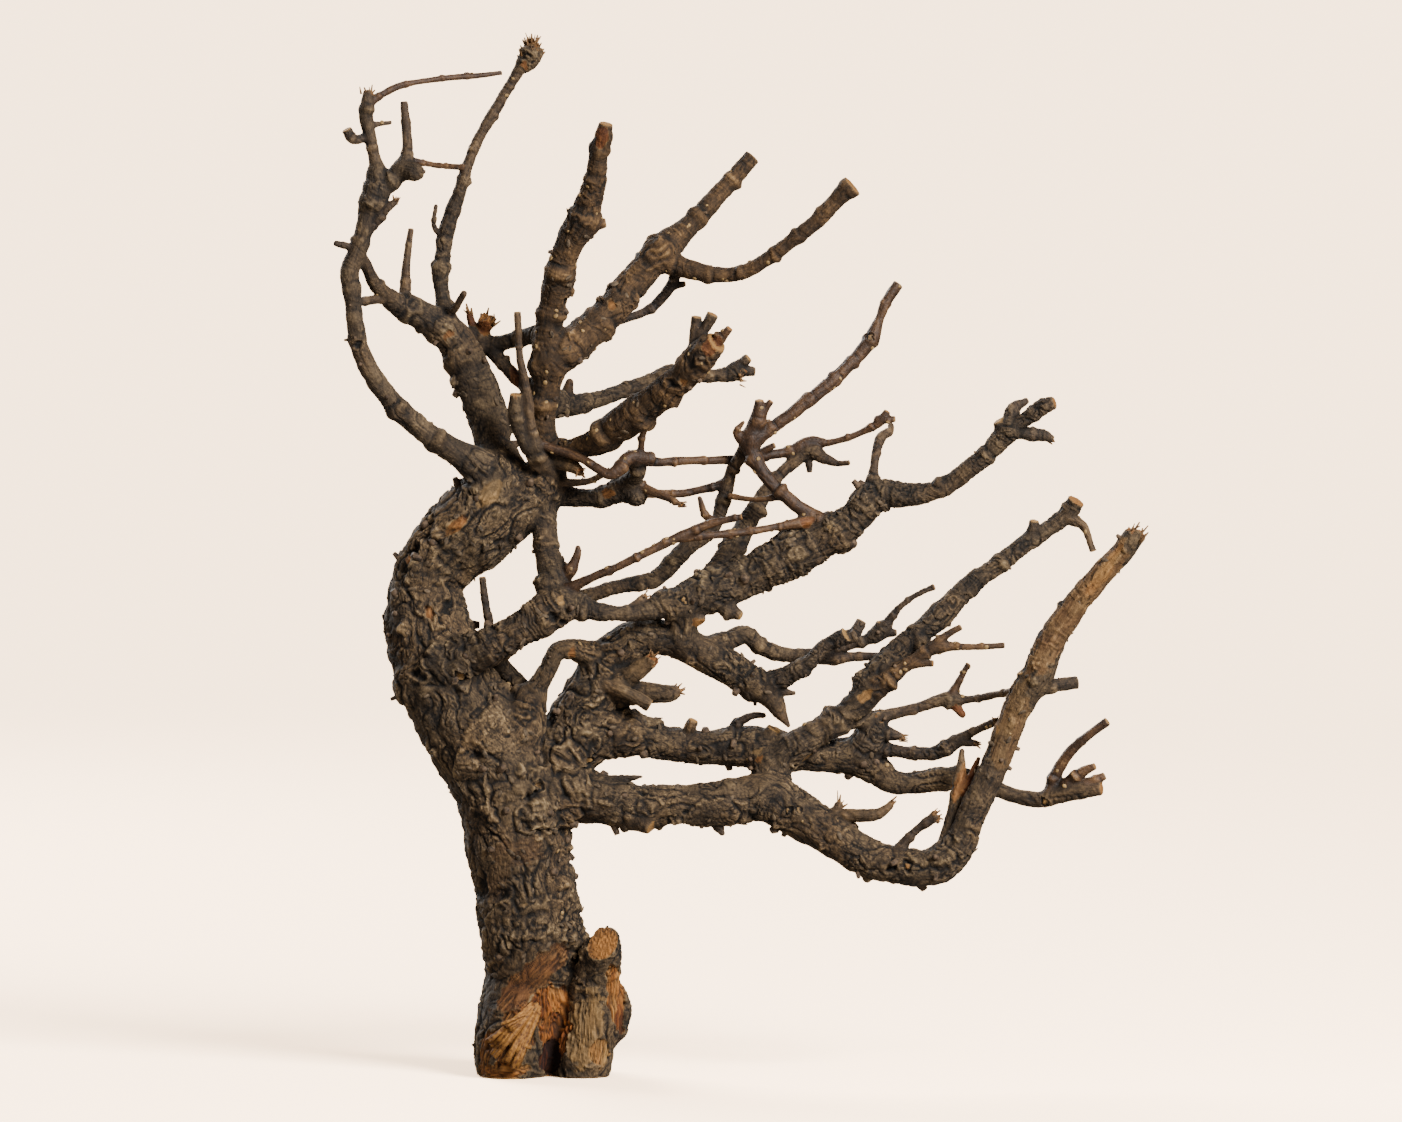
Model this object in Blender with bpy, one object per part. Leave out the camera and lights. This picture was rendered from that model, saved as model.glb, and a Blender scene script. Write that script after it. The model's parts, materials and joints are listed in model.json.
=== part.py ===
"""A dry, gnarled root stock that stands on its sawn foot: one solid that grew as one piece.

Metres, +Z up. X runs to the right across the broad side, Y away from the front. The origin is on
the flat sawn face, under the front of the stem. Every limb is a tapered tube along a few knots
chosen by hand, and a Boolean union grows the limbs into one closed body.
"""

import bmesh
import bpy
from mathutils import Vector

OBJECT_NAME = "dry_root"

# Driving dimensions, in metres.
HEIGHT = 0.3048  # the sawn face to the tip of the tallest twig
SAW_SIDE = 0.120  # side of the block that stands for the saw
WELD = 1e-6

# Knots are (x, y, z, radius), drawn in millimetres for a root of this height.
DRAWN_HEIGHT = 304.8
UNIT = HEIGHT / DRAWN_HEIGHT

# A thicker limb gets more sides: (least mean radius in drawn units, bevel resolution).
SIDES = ((4.2, 2), (1.7, 1), (0.0, 0))

STEM = {
    "stem": (
        (-8, 4, -12, 8), (-8, 4, 0, 12), (-8, 4, 8, 13.5), (-6, 3, 20, 13.5), (-4, 2, 30, 13.5),
        (-4, 1, 40, 14.6), (-5.5, 0, 50, 15), (-7, -1, 60, 14.2), (-8.5, -1, 70, 15.5),
        (-9.6, -1, 80, 15.6), (-13.5, -2, 90, 15.6), (-19.6, -2, 100, 15.2), (-25.4, -1, 109, 14.4),
        (-29.8, 0, 118, 13.6), (-33.4, 1, 127, 13.4), (-35.4, 3, 136, 12), (-35, 4, 145, 10.6),
        (-31, 4, 152.6, 11), (-24.4, 3, 160, 12), (-17.4, 2, 167, 11), (-13.6, 0, 176, 8.2),
    ),
    "foot_left": (
        (-10.5, -3, -12, 6), (-10.5, -4, 0, 8.6), (-10, -4.5, 7, 9.8), (-8.5, -4, 16, 9.6),
        (-6, -1, 28, 9),
    ),
    "foot_right": (
        (10.5, -2, -12, 5.5), (10.8, -3, 0, 7.8), (11.4, -3.5, 8, 8.6), (14, -4, 17, 8),
        (14.6, -4, 26, 7.4), (15.8, -7, 33, 6.4), (17.2, -11.5, 38.5, 5.2), (17.6, -14.5, 42, 4.6),
    ),
    "foot_back": ((3, 10, -12, 9), (3, 10, 0, 12.5), (3, 9, 12, 13.5), (1, 6, 28, 12), (-2, 3, 44, 10)),
    "foot_heel": ((-9, 11, -12, 7), (-9, 11, 0, 9.5), (-9, 10, 12, 10), (-8, 6, 30, 9)),
    "bark_scale": ((19.5, 1, 9, 1.4), (21, 0.5, 14, 3), (22, 0.5, 20, 3.2), (20, 0, 27, 2.4)),
}

CROWN_LEFT = {
    "arch": (
        (-14, 0, 173, 8), (-19, -3, 179.5, 5.6), (-25, -5, 183.6, 4.1), (-32, -7, 188, 3.5),
        (-39, -9, 193.6, 3.2), (-44.8, -11, 199.3, 3), (-49.6, -13, 205.8, 2.8), (-53.4, -14.5, 213, 2.7),
        (-55.3, -15.5, 221, 2.5), (-56.2, -16, 229, 2.5), (-57, -16, 238, 2.9), (-54, -15.5, 245.8, 2.6),
        (-52, -15, 253.8, 2.8), (-49.6, -14.5, 260.3, 4.2), (-49, -14, 265.8, 3.2),
        (-49.8, -13.5, 270.8, 1.8), (-51.6, -13, 278.8, 1.9), (-52.4, -13, 284.8, 2.1),
        (-51.6, -13, 290.3, 1.6),
    ),
    "arch_top_twig": (
        (-52, -13, 286.5, 1.3), (-47, -11, 290, 1.1), (-42, -9, 292.2, 1.0), (-35, -6, 293.5, 0.9),
        (-27, -3, 294.5, 0.9), (-19, 0, 295, 0.85), (-12.8, 2, 295.8, 0.75),
    ),
    "arch_left_stub": ((-52, -13, 277, 1.4), (-56, -15, 276.6, 1.5), (-58, -16, 279.4, 1.6)),
    "arch_right_spur": ((-51, -13, 280.6, 1.0), (-45.3, -11, 281.3, 0.6)),
    "arch_right_prong": (
        (-49, -14, 262, 3), (-45, -14, 264.5, 2.9), (-41.6, -14, 268, 2.7), (-40.2, -14, 273, 1.7),
        (-40.6, -13, 280, 1.4), (-41.3, -12, 287.5, 1.1),
    ),
    "arch_knob": ((-42, -14, 267.5, 2.6), (-38, -17, 267, 2.7)),
    "arch_link": ((-40, -13, 270.6, 1.0), (-33, -10, 269, 0.9), (-24.3, 8, 267.8, 0.9)),
    "arch_barb": ((-51, -15, 250.5, 1.6), (-46.5, -16, 256, 1.4), (-43.2, -16.5, 258.5, 1.0)),
    "arch_nib": ((-55, -15.5, 244.4, 1.2), (-61, -17, 246, 0.9)),
    "elbow": (
        (-11.6, 1, 175.7, 7.5), (-15.1, 3, 184.7, 5.6), (-16.2, 4, 191.7, 5.6), (-18.2, 5, 198.7, 6),
        (-21.6, 6, 205.7, 5.9), (-24.6, 6, 212.7, 5.8), (-28.6, 5, 218.7, 5.4), (-34.1, 3, 223.3, 4.5),
        (-40.1, 0, 226.1, 4.2), (-45.2, -4, 229.1, 2.9), (-49.4, -9, 233.3, 2.1),
        (-53, -13.5, 240.7, 1.7),
    ),
    "elbow_link": ((-55.5, -15, 228.8, 1.3), (-47, -6, 229.6, 1.4)),
    "elbow_twig": (
        (-41.6, 0, 228, 2.2), (-41.3, 1, 234, 1.5), (-40.8, 2, 241, 1.2), (-39.6, 3, 250, 0.9),
    ),
    "whip": (
        (-29, 4, 223, 2.8), (-30.5, 6, 230, 2.2), (-31, 7, 238, 2.6), (-30, 8, 244.7, 2.3),
        (-29, 8, 250.2, 2.3), (-26.6, 8, 256.7, 2.2), (-24.2, 8, 264.7, 1.8), (-21, 9, 273.7, 1.6),
        (-16.4, 10, 282.3, 1.7), (-11.9, 11, 289.7, 1.6), (-8, 11, 296.1, 1.8), (-4.8, 11, 300.1, 3.2),
        (-3.8, 11, 304.5, 1.5),
    ),
    "whip_spike": ((-31, 8, 247.6, 1.0), (-33, 6, 251, 0.8), (-32.3, 5, 256.5, 0.6)),
    "elbow_thorn": ((-29.4, 4, 223.6, 1.6), (-26.6, 0, 226.6, 1.2), (-23.9, -4, 231, 1.0)),
    "dark_strut": (
        (-0.5, -1, 202, 2.6), (-7.6, 5, 205, 2.2), (-12.6, 8, 210, 1.9), (-17.4, 11, 215.4, 2.3),
        (-22, 10, 219, 1.9),
    ),
    "dark_bridge": (
        (1, -3, 217, 3), (-2.6, 2.6, 218.6, 2.8), (-7, 6, 217.6, 2.5), (-13, 9, 216, 2.3),
        (-18.6, 11, 215.6, 2.6),
    ),
    "torn_knob": ((-18.4, 11, 215.6, 2.6), (-18.6, 11, 219.6, 2.2), (-17, 9, 223, 2.6)),
    "torn_prong": ((-18.6, 11, 218.6, 1.8), (-21.6, 11, 221, 1.3), (-22.8, 11, 225.2, 1.0)),
}

CROWN_MIDDLE = {
    "crotch": ((-21, 3, 161, 11.6), (-10.6, 1, 166.6, 9), (-2.5, 0, 174, 6.6), (1, -1, 181, 5)),
    "mast": (
        (0, 0, 176, 5.6), (1, -1, 184, 4.2), (-0.4, -1, 191, 3.5), (-0.3, -1.5, 198, 3.4),
        (0.6, -2, 204.5, 4.2), (0.8, -2.5, 210, 5.2), (1.4, -3, 216, 5.2), (1.3, -5, 222, 3.9),
        (2.2, -7, 228, 3.9), (4.2, -9, 235, 4.6), (5.2, -11, 240.7, 4.2), (7.6, -13, 246.7, 4.4),
        (11.2, -15, 252.7, 4.8), (12.9, -17, 258.1, 3.9), (15, -19.5, 264.7, 3.1),
        (15.9, -22, 271.7, 2.9), (17.5, -24.6, 278.7, 2.5), (18.1, -25.4, 281.3, 1.7),
    ),
    "mast_spur": ((12, -16, 251, 2.2), (18, -16, 252.1, 1.4)),
    "bough": (
        (1.4, -3, 210.6, 5), (7.9, -2, 215.6, 5.3), (13.4, 0, 220.6, 5.1), (19.4, 2, 226.2, 4.8),
        (24.6, 4, 232, 4.7), (29.4, 5, 238, 4.6), (34, 6, 243, 5.2), (39.4, 8, 248, 3.7),
        (45.4, 10, 253.6, 3), (50.4, 12, 259.1, 2.8), (55.4, 14, 264.6, 2.6), (61, 16, 270.8, 2.4),
    ),
    "bough_tine": (
        (33.3, 5.5, 241.5, 3.4), (38.7, 4.5, 239.1, 3), (43.3, 3, 237.5, 2.8), (49.3, 1.4, 236.5, 2.4),
        (55.3, 0, 236.5, 2.2), (61.3, -2, 238.7, 2.1), (67.3, -4, 242.5, 2.2), (73.3, -6, 247.1, 2.2),
        (79.9, -8, 252.5, 2.3), (85.7, -9.4, 258.9, 2.5), (90.3, -10.5, 262.9, 3.1),
    ),
    "bough_loop": (
        (17, 4, 222.6, 2.2), (24, 9, 223.4, 1.3), (30, 11, 225.6, 1.4), (34, 11, 229, 1.5),
        (36.8, 9, 232.8, 1.6), (39.6, 5, 238.8, 1.4),
    ),
    "bough_loop_nib": ((37, 9, 232.6, 1.2), (41.2, 8, 233.6, 0.9)),
    "back_arm": (
        (-0.8, -1, 198.8, 3.4), (2.6, 4.4, 198.2, 4.2), (7.2, 9, 197.6, 3.4), (13.2, 13, 198.6, 2.6),
        (18.7, 15.5, 200.2, 2.3), (24.7, 18, 202.2, 2.2), (31.2, 20, 204.6, 2.3), (36.8, 21, 206.8, 2.6),
        (42.2, 22, 206.6, 2.2), (47.2, 22, 205.8, 1.9), (52.2, 23, 206.1, 2.1), (57.6, 24, 207.1, 2.8),
    ),
    "back_arm_knob": ((56, 24, 208, 2), (60, 23, 211.2, 1.4)),
    "back_arm_tooth": ((56, 24, 207.6, 2), (61.8, 25, 207, 1.4)),
    "back_arm_bud": ((6, 9, 200, 2.2), (7, 8, 204.4, 1.2)),
    "horn": (
        (1.5, -2, 182.5, 4.4), (9.1, -7, 185.5, 3.2), (14.5, -11, 187.3, 3.9), (19.5, -15, 190.9, 4.8),
        (24.5, -19, 194.9, 5.2), (29.5, -23, 198.5, 4.7), (34.5, -27, 202.3, 4.4),
        (39.5, -31, 206.5, 4.4), (43.5, -34.5, 211.1, 4.5), (46.9, -37.5, 214.9, 4.4),
        (50.5, -40, 217.9, 3.1),
    ),
    "horn_tip": ((49.6, -39.4, 217.1, 1.8), (54.2, -42, 222.1, 1.1)),
    "horn_stub": ((43.2, -34, 211.7, 2.6), (43.8, -35, 218.7, 1.5), (44.6, -36, 225.3, 1.6)),
    "horn_fork": ((44, -35, 218.3, 1.6), (46.6, -36, 221.1, 1.5), (49.2, -37, 226.1, 1.8)),
    "rod": (
        (1.5, -4, 179, 3), (-2.6, -8.5, 186, 2.1), (-4.4, -11, 193, 1.6), (-5, -12.5, 200, 1.6),
        (-6.2, -14, 207, 1.3), (-7.4, -15, 214, 1.1), (-8, -16, 226, 1.05),
    ),
    "rod_stub": (
        (-1.4, -5, 181, 3), (-5.6, -9, 187.6, 2.4), (-8.4, -11.5, 195, 2.3), (-8.5, -13, 201.8, 1.9),
    ),
    "knee_twig": (
        (-3, -8, 187.4, 1.6), (3.4, -9.6, 185.2, 1.4), (10.3, -12, 183, 1.3), (15.3, -14.6, 180.2, 1.4),
        (18.9, -16, 178.3, 1.6), (21.9, -15, 180.1, 1.9), (24.9, -13.4, 183.3, 2.1),
        (28.7, -11, 182.9, 2.1), (33.3, -8, 181.5, 1.4), (41.3, -4, 181.8, 1.25), (50.3, 1, 181.7, 1.25),
        (58.3, 6, 181.9, 1.4), (64.3, 9.4, 182.7, 1.5), (70.3, 11.4, 183.5, 1.5), (74.9, 12, 185.1, 1.9),
        (78.9, 12, 186.7, 1.7), (83.3, 11.6, 186.5, 1.1), (89.3, 10.8, 188, 1), (94.3, 10.2, 190.1, 1.1),
        (98.7, 9.6, 192.7, 1.4), (100.9, 9.2, 195.9, 1),
    ),
    "knee_end": ((98, 9.6, 193.4, 1.2), (103.2, 8.8, 193.5, 0.9)),
    "knee_spike": (
        (28, -11, 183, 1.2), (28.4, -13, 188, 1.0), (29.4, -14, 192, 1.1), (31.2, -15, 194.4, 1.6),
    ),
    "knee_drop": ((26.4, -11, 182, 2.2), (27, -7, 178.4, 2.4), (24.6, -3, 175.6, 2.6)),
    "fork_nib": ((63, 9, 183.4, 1.2), (67.6, 8, 186, 0.9)),
    "cut_tongue": ((3, -5, 182.6, 2.6), (8.6, -9, 180, 1.9), (10.4, -11, 178.6, 1.4)),
    "splint": ((0, -2, 175.4, 1.6), (11.6, -5, 175.6, 1.0), (17.6, -8, 178.2, 0.9)),
}

MIDDLE = {
    "post": (
        (0, 0, 175, 5.2), (-0.6, -1, 167, 4.1), (0, -3, 160, 3.6), (0.7, -5.5, 154, 3.8),
        (2.2, -8.5, 148.6, 4.6), (2.6, -12, 142, 5),
    ),
    "post_spur": (
        (3.4, -10, 145.6, 2.6), (7.6, -12, 150.4, 1.8), (9.4, -13, 154.4, 1.2), (9.6, -13, 156.6, 0.8),
    ),
    "bracket": (
        (-2, 0, 173, 5), (5, 2, 171.4, 3.3), (10.5, 3, 170.5, 2.9), (15.5, 2, 170.6, 2.9),
        (20, 1, 172.4, 3.6), (24, 0, 173.6, 4.3), (26.6, -2, 171.6, 3.4),
    ),
    "bracket_rod": (
        (25, 0, 172.2, 1.8), (32, 1.6, 171.8, 1.3), (39, 2.6, 171.8, 1.2), (46, 3, 173, 1.2),
        (53.4, 3, 175, 1.5),
    ),
    "bracket_torn": ((25, -2, 175, 1.8), (31, -5, 173, 1.4), (36, -8, 171, 1.1), (40.2, -10, 169, 0.7)),
    "sling": (
        (-36, -4, 116, 9), (-30, -8, 121, 8), (-23.6, -11.5, 124.6, 6.4), (-17, -14, 127.4, 5.3),
        (-9, -15, 131.8, 5.1), (-1, -15, 136.6, 5.4), (5, -14.4, 139.8, 5.4), (10.5, -14, 138.8, 3.7),
        (17.5, -13.6, 137.6, 2.6), (25, -12.4, 137.3, 2.3), (30.4, -10.6, 138, 2.9), (35, -9, 139.8, 4.3),
        (40, -7.6, 140.6, 5.1), (45, -6, 142.2, 5.6), (50.4, -5, 144.2, 6), (56, -4, 146, 5.8),
        (61, -3.2, 148, 5.9), (66, -3, 150.8, 6.5), (71, -3, 153.4, 6.9), (76, -3.4, 156, 6.5),
        (81.5, -4, 158.7, 5.9), (86.5, -4.6, 161.3, 5.8), (91.1, -5.2, 165.1, 4.9),
        (95.1, -5.8, 170.1, 5.2), (100.1, -6.4, 172.3, 4.2), (105.9, -7.4, 171.8, 3.8),
        (111.5, -8.4, 172.5, 3), (118.1, -9.4, 174.9, 2.8), (124.5, -10.4, 179.5, 2.8),
        (130.5, -11.2, 184.9, 2.8), (136.1, -12, 191.1, 3.7),
    ),
    "hand_knob": ((135.1, -12, 190.2, 2.4), (132.7, -13, 193.8, 1.5)),
    "hand_left": ((136.1, -12, 192.2, 2.4), (137.5, -10.4, 197.2, 1.9), (141.8, -9, 199.9, 0.9)),
    "hand_middle": (
        (137.9, -12.6, 192.6, 2.4), (142.5, -14.4, 195.4, 2.1), (146.3, -16, 198.4, 2.4),
        (149.5, -17, 199.6, 1.5),
    ),
    "hand_right": (
        (137.5, -12, 191, 2.4), (143.1, -10.6, 189.8, 1.9), (146.1, -9.8, 189.6, 1.9),
        (149.1, -9, 188.2, 1),
    ),
    "hand_thumb": (
        (95.9, -5.6, 172.6, 2.6), (96.5, -4, 179.2, 1.4), (97.5, -2, 185, 1.3), (98.9, 0, 188.4, 1.6),
        (101.5, 3, 190.4, 1.2), (101.7, 6, 192, 0.8),
    ),
    "lintel": (
        (4, -12, 141, 3.6), (12.4, -8, 142.2, 2.2), (20.4, -4, 144.5, 2.1), (28, -1, 145.6, 2.3),
        (32.8, 1, 147, 2.6), (37, 2.4, 151, 2.6), (41.8, 3.4, 156, 2.6), (47, 3.6, 159.6, 2.3),
        (50.4, 3.4, 163.6, 2), (52, 3.2, 168.6, 2.1), (53.8, 2.6, 174.4, 1.8), (55, 1.4, 179, 1.7),
        (57.4, -1, 183, 1.9), (59.8, -3, 187, 2.4),
    ),
    "lintel_thorn": ((49, 2, 163.6, 1.6), (46.8, 0, 166, 1.1), (45.4, -1.4, 170.6, 0.8)),
    "front_twig": (
        (3, -13, 142, 2.6), (12.6, -16.6, 147.5, 1.4), (21.2, -18.4, 151.3, 1.25),
        (30.6, -19, 155.9, 1.25), (40.2, -18, 160.5, 1.4), (48.6, -17.6, 163.9, 1.3),
        (57.8, -18.6, 166.1, 0.9),
    ),
    "cross_twig": (
        (40.3, -17.6, 159.8, 1.5), (48.3, -15.6, 160.4, 1.2), (56.3, -12.8, 161, 1.15),
        (63.3, -10.6, 161.8, 1.1), (70.3, -8.4, 163, 1.2), (78.3, -6, 164.2, 2.2),
    ),
    "brace": (
        (82.4, -4.6, 163.1, 2.6), (76.8, -6, 166.7, 2.1), (71.8, -7, 170.5, 2), (67.2, -7, 174.7, 2),
        (63.2, -6, 179.7, 2.1), (60.8, -4.6, 184.5, 2.4), (60.4, -4, 188.5, 3.2),
    ),
    "brace_thorn": ((59, -4, 187.4, 2.2), (56.2, -5, 190.2, 1.2), (58.2, -6, 193.2, 0.5)),
    "brace_knob": ((60.6, -4, 189.6, 2.6), (62.8, -5, 195.4, 2.2), (62.9, -6, 199.8, 1.3)),
    "brace_peg": ((63.4, -5, 195, 1.3), (66.4, -6, 199.6, 0.9)),
    "brace_rung": ((70, -7, 171.4, 1.2), (62, -4.6, 170.4, 0.8), (54.4, -1, 171.2, 0.9)),
    "red_rod": (
        (61.1, -4, 188, 2.9), (66.5, -3.4, 191.4, 2), (71.1, -2.8, 194.6, 1.9), (76.5, -2, 198.8, 2.1),
        (81.1, -1, 202.2, 2.1), (86.1, 0.4, 206.6, 2), (90.9, 2, 211.3, 1.9), (95.1, 3.4, 216, 2.2),
        (96.9, 4, 219.2, 2.1), (98.5, 4.6, 223.6, 1.4), (100.7, 5.4, 228.6, 1.5), (104, 6.4, 233.6, 1.6),
    ),
    "rear_bough": (
        (47.5, -3, 144.5, 4.5), (51.3, 0, 150.1, 3.6), (54.5, 2.6, 155.3, 3.5), (57.9, 5, 160.5, 3.2),
        (61.3, 7.4, 165.9, 2.8), (64.3, 9, 171.1, 2.3), (68.3, 10.4, 176.3, 1.9),
        (72.9, 11.6, 180.5, 1.9), (77.7, 12, 183.9, 2.3), (81.9, 11, 181.9, 1.8), (85.9, 10, 180.5, 1),
        (89.7, 9, 180.6, 0.9),
    ),
    "rear_knot": ((55.4, 4, 158, 2.4), (57.6, 1.4, 155.6, 1.9)),
    "rear_peg": ((77.6, 12, 183.4, 1.4), (77.9, 12, 177.6, 0.8)),
    "lintel_tongue": ((25, -12, 138, 1.8), (29.4, -10, 142, 1.2)),
    "sling_peg": ((44, -6, 138.4, 2.8), (45.6, -8.4, 134.4, 1.5)),
    "sling_spur": ((49, -5, 141.6, 3.2), (54, -6.6, 138, 2.4), (57.6, -8, 136.2, 1.3)),
    "sling_wart": ((76, -5, 155.6, 3), (80, -7.4, 152.8, 1.1)),
    "splinter": (
        (-4, 1, 112, 3), (-9, 2, 116.4, 2.7), (-13, 2.6, 121, 2.5), (-15.4, 1, 127, 1.6),
        (-16.8, 0, 134.6, 1.3), (-18, 0, 141, 1.15), (-18.6, 0, 147.4, 1.0),
    ),
}

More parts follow.
